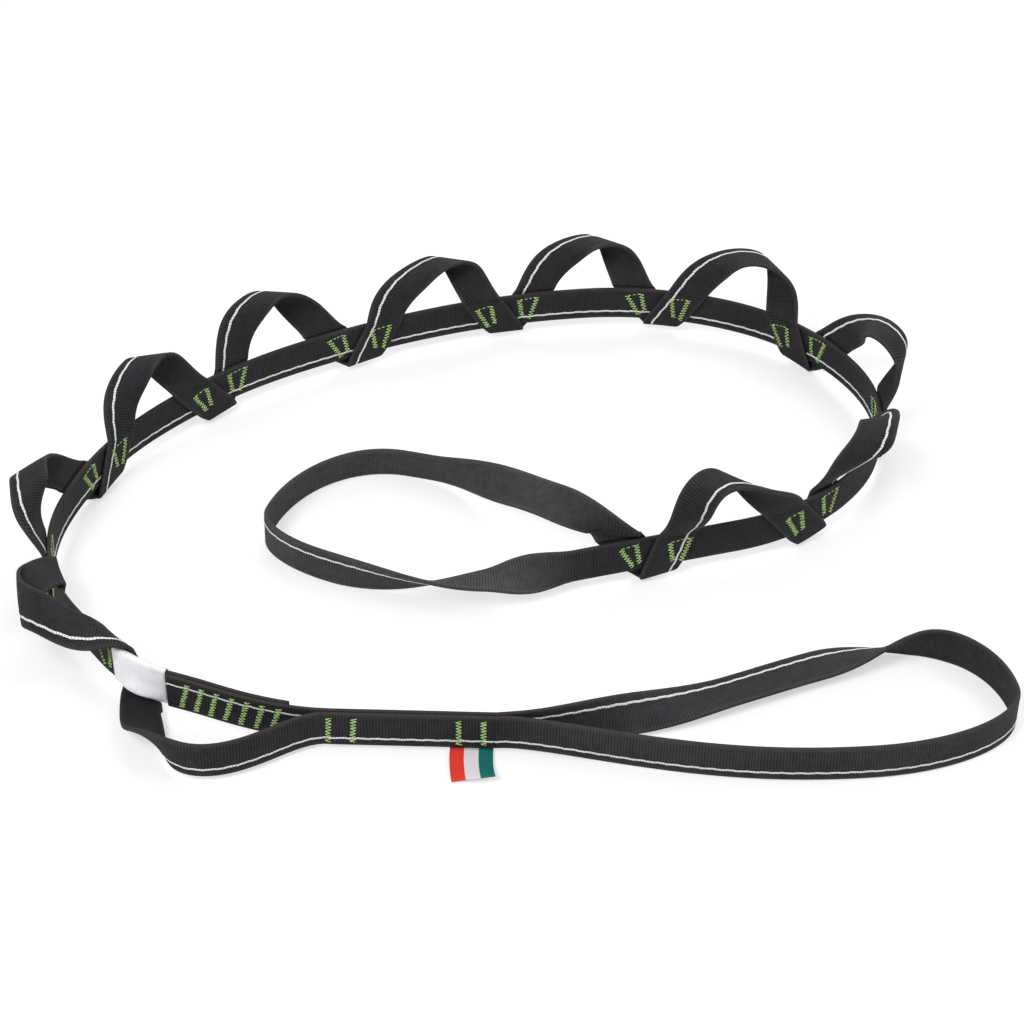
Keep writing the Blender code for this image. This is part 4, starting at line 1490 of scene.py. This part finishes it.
@dataclass
class Stitching:
    """The zigzag tacks, each a thread that lies on the cloth and dips into it at every needle hole.

    The bar shares place a fold's four bars, as shares of the strip's width: where each has its top
    along the spine and up, and then its foot. The low and high shares are those of straight bars.
    The label reach is the place along the spine beyond which the first fold's bars are sewn.
    """

    shop: Workshop
    radius: float = 0.20 * MM
    proud: float = 0.14 * MM
    sunk: float = 0.30 * MM
    hidden: float = 0.55 * MM
    bar_width: float = 3.1 * MM
    clear_width: float = 3.0 * MM
    half_pitch: float = 0.86 * MM
    proud_shares: tuple[float, ...] = (0.16, 0.5, 0.84)
    dash_pitch: float = 2.3 * MM
    dash_share: float = 0.62
    dash_proud_shares: tuple[float, ...] = (0.15, 0.5, 0.85)
    clearance: float = 0.65 * MM
    tack_spacing: float = 10.5 * MM
    splice_bars: int = 7
    splice_spacing: float = 6.7 * MM
    splice_first: float = 82.5 * MM
    splice_lean_deg: float = 16.0
    tack_lean_deg: float = 4.0
    bar_low_share: float = 0.12
    bar_high_share: float = 0.88
    label_reach: float = 163.1 * MM
    wobble: float = 0.16 * MM
    bar_shares: tuple[tuple[float, float, float, float], ...] = (
        (-0.95, 0.78, -0.60, 0.14),
        (-0.47, 0.86, -0.36, 0.24),
        (0.32, 0.84, 0.41, 0.22),
        (0.87, 0.88, 0.63, 0.16),
    )

    def fold_bars(self, crease: Crease) -> list[Bar]:
        """Place the bars at a fold, where its strand leaves them clear.

        Args:
            crease: The fold.

        Returns:
            Each bar as its top and foot: the place from the fold's middle, and the height.
        """
        shares = list(self.bar_shares)
        if crease.number >= LAYOUT.pocket_count - 1:
            shares = [(-top, high, -foot, low) for top, high, foot, low in shares[::-1]]
        bars = []
        for top_share, high_share, foot_share, low_share in shares:
            high = LAYOUT.spine_lift + high_share * WEB.width
            low = LAYOUT.spine_lift + low_share * WEB.width
            sense = math.copysign(1.0, foot_share)
            reach = self.clear_width / 2 + self.clearance - crease.edge(-sense, low)
            foot = math.copysign(max(abs(foot_share) * WEB.width, reach), foot_share)
            top = foot + (top_share - foot_share) * WEB.width
            bars.append((Vector((top, high)), Vector((foot, low))))
        if crease.number == 0:
            shift = Vector((self.label_reach - LAYOUT.folds[0] - bars[2][0].x, 0.0))
            return [(top + shift, foot + shift) for top, foot in bars[2:]]
        return bars

    def zigzag(self, start: Vector, end: Vector, chance: random.Random) -> list[Stitch]:
        """The thread of one bar.

        Args:
            start: The end of the bar where it begins, along and up.
            end: The other end.
            chance: Where its unevenness comes from.

        Returns:
            The points along and up, each with its height above the cloth.
        """
        run = end - start
        aside = Vector((-run.y, run.x)).normalized()
        count = max(4, round(run.length / self.half_pitch))
        corners = []
        for number in range(count + 1):
            side = (self.bar_width / 2 - self.radius) * (1 if number % 2 else -1)
            uneven = Vector((chance.uniform(-1, 1), chance.uniform(-1, 1))) * self.wobble
            corners.append(start + run * number / count + aside * side + uneven)
        points = []
        for here, there in zip(corners, corners[1:]):
            points.append((here, -self.sunk))
            points += [(here.lerp(there, share), self.proud) for share in self.proud_shares]
        return points + [(corners[-1], -self.sunk)]

    def dashes(self, start: Vector, end: Vector) -> list[Stitch]:
        """Sew a row of single stitches.

        Args:
            start: The row's start, along and up.
            end: Its end.

        Returns:
            The points along and up, each with its height above the cloth.
        """
        count = max(1, round((end - start).length / self.dash_pitch))
        points = []
        for number in range(count):
            low = (number + (1 - self.dash_share) / 2) / count
            high = (number + (1 + self.dash_share) / 2) / count
            points.append((start.lerp(end, low), -self.hidden))
            for share in self.dash_proud_shares:
                points.append((start.lerp(end, low + (high - low) * share), self.proud))
            points.append((start.lerp(end, high), -self.hidden))
        return points

    def pair(self, bars: Sequence[Bar], chance: random.Random) -> list[Stitch]:
        """Sew two bars: down the first, up the second, and back between their tops.

        Args:
            bars: The two bars.
            chance: Where their unevenness comes from.

        Returns:
            The points along and up, each with its height above the cloth.
        """
        (first_top, first_foot), (second_top, second_foot) = bars
        points = self.zigzag(first_top, first_foot, chance)
        points += self.zigzag(second_foot, second_top, chance)
        return points + self.dashes(second_top, first_top)

    def row(self, bars: Sequence[Bar], chance: random.Random) -> list[Stitch]:
        """Sew a row of bars down from their tops, between which the thread runs inside the cloth.

        Args:
            bars: The bars.
            chance: Where their unevenness comes from.

        Returns:
            The points along and up, each with its height above the cloth.
        """
        points = []
        for top, foot in bars:
            points += [(top, -self.hidden)] + self.zigzag(top, foot, chance)
            points += [(foot, -self.hidden), (top, -self.hidden)]
        return points

    def wire(self, name: str, points: Sequence[Vector]) -> None:
        """Make a thread as a round wire.

        Args:
            name: The CAD node that it stands for.
            points: Its points in the chain's frame.
        """
        curve = bpy.data.curves.new(name, "CURVE")
        curve.dimensions = "3D"
        spline = curve.splines.new("POLY")
        spline.points.add(len(points) - 1)
        for target, point in zip(spline.points, points):
            target.co = (*(point + self.shop.shift), 1.0)
        curve.bevel_depth = self.radius
        curve.bevel_resolution = 1
        curve.use_fill_caps = True
        curve.materials.append(self.shop.finish(ThreadFinish()))
        self.shop.fit(new_object(name + "_thread", curve), name, Slot.THREAD)

    def fold_thread(self, crease: Crease, side: Side) -> None:
        """Sew one side of a fold, two bars at a time, on the strand where it covers the spine.

        Args:
            crease: The fold.
            side: The side of the spine.
        """
        on_spine = WEB.thickness / 2
        on_strand = crease.radius + on_spine
        comes_down_here = crease.number > 0 and Crease.side_of(crease.number - 1) == side
        before = on_strand if comes_down_here else on_spine
        bare = comes_down_here or (crease.number == 0 and side is Side.LEFT)
        after = on_spine if bare else on_strand
        bars = self.fold_bars(crease)
        chance = random.Random(crease.number * 2 + side)
        levels = [before, after] if len(bars) == 4 else [after]
        places = []
        for number, level in enumerate(levels):
            stitches = self.pair(bars[2 * number : 2 * number + 2], chance)
            if number:
                passing = (places[-1][0], stitches[0][0])
                places += [(point, on_spine - self.hidden) for point in passing]
            places += [(point, level + rise) for point, rise in stitches]
        start = LAYOUT.folds[crease.number]
        points = [LAYOUT.beside(start + point.x, side * out, point.y) for point, out in places]
        self.wire(f"fold_{crease.number + 1:02d}_stitching_{side.name.lower()}", points)

    def straight_bars(self, places: Sequence[float], lean_deg: float) -> list[Bar]:
        """Place a row of bars on the doubled straps.

        Args:
            places: Their middles' places along the spine.
            lean_deg: How far their tops lean back along it.

        Returns:
            Each bar as its top and foot, along and up.
        """
        bars = []
        for along in places:
            low = LAYOUT.lift(along) + self.bar_low_share * WEB.width
            rise = (self.bar_high_share - self.bar_low_share) * WEB.width
            lean = rise * math.tan(math.radians(lean_deg)) / 2
            bars.append((Vector((along - lean, low + rise)), Vector((along + lean, low))))
        return bars

    def straight_thread(
        self, tack: str, side: Side, places: Sequence[float], lean_deg: float, ply: float
    ) -> None:
        """Sew a row of bars.

        Args:
            tack: The tack's name.
            side: The side that it is sewn from.
            places: Its bars' places along the spine.
            lean_deg: How far their tops lean back.
            ply: How far to the right of the spine the outer ply on that side has its middle.
        """
        level = ply + side * WEB.thickness / 2
        chance = random.Random(len(places) + round(level / MM))
        stitches = self.row(self.straight_bars(places, lean_deg), chance)
        points = [LAYOUT.beside(point.x, level + side * rise, point.y) for point, rise in stitches]
        self.wire(f"{tack}_stitching_{side.name.lower()}", points)

    def build(self) -> None:
        """Sew every tack on both sides."""
        for crease in CREASES:
            for side in Side:
                self.fold_thread(crease, side)
        pair = (-self.tack_spacing / 2, self.tack_spacing / 2)
        pocket = [LAYOUT.tack_span + place for place in pair]
        steps = range(self.splice_bars)
        splice = [self.splice_first + step * self.splice_spacing for step in steps]
        sewn = (
            ("end_tack", pair, 0.0, -2 * WEB.pitch, -WEB.pitch),
            ("pocket_tack", pocket, self.tack_lean_deg, -2 * WEB.pitch, -WEB.pitch),
            ("splice", splice, self.splice_lean_deg, -WEB.pitch, 0.0),
        )
        for tack, places, lean_deg, left_ply, right_ply in sewn:
            self.straight_thread(tack, Side.LEFT, places, lean_deg, left_ply)
            self.straight_thread(tack, Side.RIGHT, places, lean_deg, right_ply)


def thickened(item: bpy.types.Object, thickness: float) -> None:
    """Give a sheet its thickness.

    Args:
        item: The sheet.
        thickness: The thickness, half of which lies on either side.
    """
    solid = item.modifiers.new("Thickness", "SOLIDIFY")
    solid.thickness = thickness
    solid.offset = 0.0


@dataclass
class LabelSleeve:
    """The bare white label, a sleeve round the spine whose front bulges low on the left."""

    shop: Workshop
    length: float = 29.0 * MM
    thickness: float = 0.3 * MM
    gap: float = 0.3 * MM
    flare: float = 4.0 * MM
    steps: int = 24
    section_step: float = 0.7 * MM
    easing_rounds: int = 3

    def section(self, flare: float) -> list[Vector]:
        """Draw the sleeve seen along the spine.

        Args:
            flare: How far it bulges low on the left.

        Returns:
            The points to the right and up, closed, with sharp corners.
        """
        side = WEB.thickness / 2 + self.gap + self.thickness / 2
        low = LAYOUT.spine_lift - self.gap - self.thickness / 2
        high = LAYOUT.spine_lift + WEB.width + self.gap + self.thickness / 2
        middle = (low + high) / 2
        places = (
            (0.0, high),
            (-side, high),
            (-side - flare / 4, middle),
            (-side - flare, low + (middle - low) / 3),
            (-side, low),
            (side, low),
            (side, middle),
            (side, high),
        )
        corners = [Vector(place) for place in places]
        points = []
        for here, there in zip(corners, corners[1:] + corners[:1]):
            count = max(1, round((there - here).length / self.section_step))
            points += [here.lerp(there, number / count) for number in range(count)]
        return points

    def rounded(self, ring: list[Vector]) -> list[Vector]:
        """Ease the corners of a closed ring of points.

        Args:
            ring: The points.

        Returns:
            The eased points.
        """
        for _ in range(self.easing_rounds):
            after = ring[1:] + ring[:1]
            ring = [
                (last + here * 2 + beyond) / 4
                for last, here, beyond in zip(ring[-1:] + ring[:-1], ring, after)
            ]
        return ring

    def build(self) -> None:
        shares = spread(0.0, 1.0, self.steps)
        sections = [self.section(self.flare * math.sin(math.pi * share)) for share in shares]
        size = max(len(section) for section in sections)
        points, weave = [], []
        for share, section in zip(shares, sections):
            ring = self.rounded(section)
            closed = Polyline(ring + ring[:1])
            run = self.length * share
            for number in range(size):
                around = closed.length * number / size
                place = closed.at(around)
                points.append(tuple(LAYOUT.beside(LAYOUT.label_start + run, place.x, place.y)))
                weave.append((run / MM, around / MM))
        item = self.shop.mesh_piece(
            "label_sleeve_cloth",
            np.array(points),
            grid_faces(len(shares), size, closed=True),
            np.array(weave),
            (LabelFinish(),),
        )
        thickened(item, self.thickness)
        self.shop.fit(item, "label_sleeve", Slot.LABEL)


@dataclass
class ColourTab:
    """The small tab in three colours, sewn in under the doubled straps."""

    shop: Workshop
    width: float = 18.4 * MM
    length: float = 18.0 * MM
    thickness: float = 0.6 * MM
    gap: float = 0.3 * MM
    hinge_gap: float = 0.5 * MM
    curl: float = 4.0 * MM
    skew: float = 1.7 * MM
    steps: int = 18
    blend_length: float = 3.0 * MM

    def __post_init__(self) -> None:
        """Work out where the tab is sewn in."""
        self.seam_width = 2 * WEB.pitch - WEB.ply_gap
        self.root = -2 * WEB.pitch - WEB.thickness / 2
        self.height = LAYOUT.double_lift - self.gap - self.thickness / 2

    def flap_point(self, out: float, side: float) -> Vector:
        """A point of the flap.

        Args:
            out: The share of its length from the straps.
            side: The share of its width along the spine.

        Returns:
            The point in the chain's frame.
        """
        drop = (self.height - self.thickness / 2) * smooth(out)
        curl = self.curl * out * out * (1.0 - side)
        right = self.root - self.hinge_gap - self.length * out
        along = self.width * (side - 0.5) - self.skew * out * out
        return LAYOUT.beside(along, right, self.height - drop + curl)

    def cloth(self, name: str, outs: Sequence[float], place: Place) -> bpy.types.Object:
        """Make a piece of the tape, with its thickness.

        Args:
            name: The piece's name.
            outs: Its rows, as shares of the length.
            place: Where a point is, from its shares of the length and the width.

        Returns:
            The object.
        """
        sides = spread(0.0, 1.0, self.steps)
        shares = [(out, side) for out in outs for side in sides]
        points = np.array([tuple(place(out, side)) for out, side in shares])
        weave = [(out * self.length / MM, self.width * (side - 0.5) / MM) for out, side in shares]
        faces = grid_faces(len(outs), len(sides))
        item = self.shop.mesh_piece(name, points, faces, np.array(weave), (TabFinish(),))
        thickened(item, self.thickness)
        return item

    def build(self) -> None:
        def seam_point(out: float, side: float) -> Vector:
            """A point of the seam under the straps."""
            right = self.root + self.seam_width * out
            return LAYOUT.beside(self.width * (side - 0.5), right, self.height)

        seam = self.cloth("tab_seam_cloth", spread(0.0, 1.0, 4), seam_point)
        self.shop.fit(seam, "tab_seam", Slot.TAB)
        start = -self.hinge_gap / self.length
        outs = [start] + spread(0.0, 1.0, self.steps)
        flap = self.cloth("tab_flap_cloth", outs, self.flap_point)
        root = LAYOUT.beside(0.0, self.root, self.height)
        span = (root, root - LAYOUT.rightward(0.0) * self.blend_length)
        self.shop.fit_blend(flap, "tab_flap", Slot.TAB, span)


@dataclass
class Studio:
    """The pale floor, the soft lights and the camera at the photograph's angle.

    Each lamp has its place, its size and its power.
    """

    camera_place: tuple[float, float, float] = (0.00686, -0.89185, 0.718)
    camera_aim: tuple[float, float, float] = (0.00686, -0.00785, 0.010)
    lens_mm: float = 85.0
    sensor_mm: float = 36.0
    white: Colour = (1.0, 1.0, 1.0)
    floor_size: float = 12.0
    floor_colour: Colour = (0.86, 0.86, 0.86)
    floor_glow: float = 0.55
    world_strength: float = 0.42
    lamps: tuple[tuple[tuple[float, float, float], float, float], ...] = (
        ((-0.7, -0.9, 1.4), 0.7, 24.0),
        ((1.1, -0.2, 1.1), 0.8, 10.0),
        ((0.1, 1.2, 1.1), 0.9, 14.0),
    )

    @staticmethod
    def aimed(
        item: bpy.types.Object,
        place: tuple[float, float, float],
        aim: tuple[float, float, float],
    ) -> None:
        """Put a lamp or the camera in its place and turn it towards its aim."""
        item.location = place
        item.rotation_euler = (Vector(aim) - Vector(place)).to_track_quat("-Z", "Y").to_euler()

    def floor(self) -> None:
        """Make the floor, which shows white and keeps the object's shadow."""
        half = self.floor_size / 2
        mesh = bpy.data.meshes.new("floor")
        corners = [(-half, -half, 0.0), (half, -half, 0.0), (half, half, 0.0), (-half, half, 0.0)]
        mesh.from_pydata(corners, [], [(0, 1, 2, 3)])
        item = new_object("floor", mesh)
        desk = MaterialDesk("floor", 0.9)
        desk.feed(desk.shader, {"Base Color": self.floor_colour})
        glow = desk.signal("ShaderNodeEmission", {}, {"Color": self.white, "Strength": 1.0})
        share = desk.signal("ShaderNodeLightPath", {}, {}, "Is Camera Ray") * self.floor_glow
        plain = Signal(desk, desk.shader.outputs[0])
        mix = desk.signal("ShaderNodeMixShader", {}, {0: share, 1: plain, 2: glow})
        desk.feed(desk.nodes["Material Output"], {"Surface": mix})
        mesh.materials.append(desk.material)

    def lights(self) -> None:
        """Hang the soft lamps and light the world evenly."""
        for number, (place, size, power) in enumerate(self.lamps, start=1):
            lamp = bpy.data.lights.new(f"softbox_{number}", "AREA")
            lamp.size = size
            lamp.energy = power
            self.aimed(new_object(lamp.name, lamp), place, (0.0, 0.0, 0.0))
        world = bpy.data.worlds.new("studio")
        world.use_nodes = True
        desk = NodeDesk(world.node_tree)
        seen = desk.signal("ShaderNodeLightPath", {}, {}, "Is Camera Ray")
        strength = seen.maths("MAXIMUM", seen, self.world_strength)
        desk.feed(desk.nodes["Background"], {"Color": self.white, "Strength": strength})
        bpy.context.scene.world = world

    def camera(self) -> None:
        """Place the camera."""
        data = bpy.data.cameras.new("camera")
        data.lens = self.lens_mm
        data.sensor_width = self.sensor_mm
        item = new_object("camera", data)
        self.aimed(item, self.camera_place, self.camera_aim)
        bpy.context.scene.camera = item

    def build(self) -> None:
        """Set up the whole studio."""
        self.floor()
        self.lights()
        self.camera()
        bpy.context.scene.view_settings.view_transform = "Standard"


def packed_shift(tab: ColourTab) -> Vector:
    """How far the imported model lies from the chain's own frame, by the middle of the tab's seam."""
    low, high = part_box("tab_seam")
    return (low + high) / 2 - LAYOUT.beside(0.0, tab.root + tab.seam_width / 2, tab.height)


def main() -> None:
    """Build the studio and every piece of the chain."""
    logging.basicConfig(level=logging.INFO, format="%(name)s: %(message)s")
    shop = Workshop(Vector())
    tab = ColourTab(shop)
    shop.shift = packed_shift(tab)
    Studio().build()
    Straps(StripWeaver(shop)).build()
    Stitching(shop).build()
    LabelSleeve(shop).build()
    tab.build()


if __name__ == "__main__":
    main()
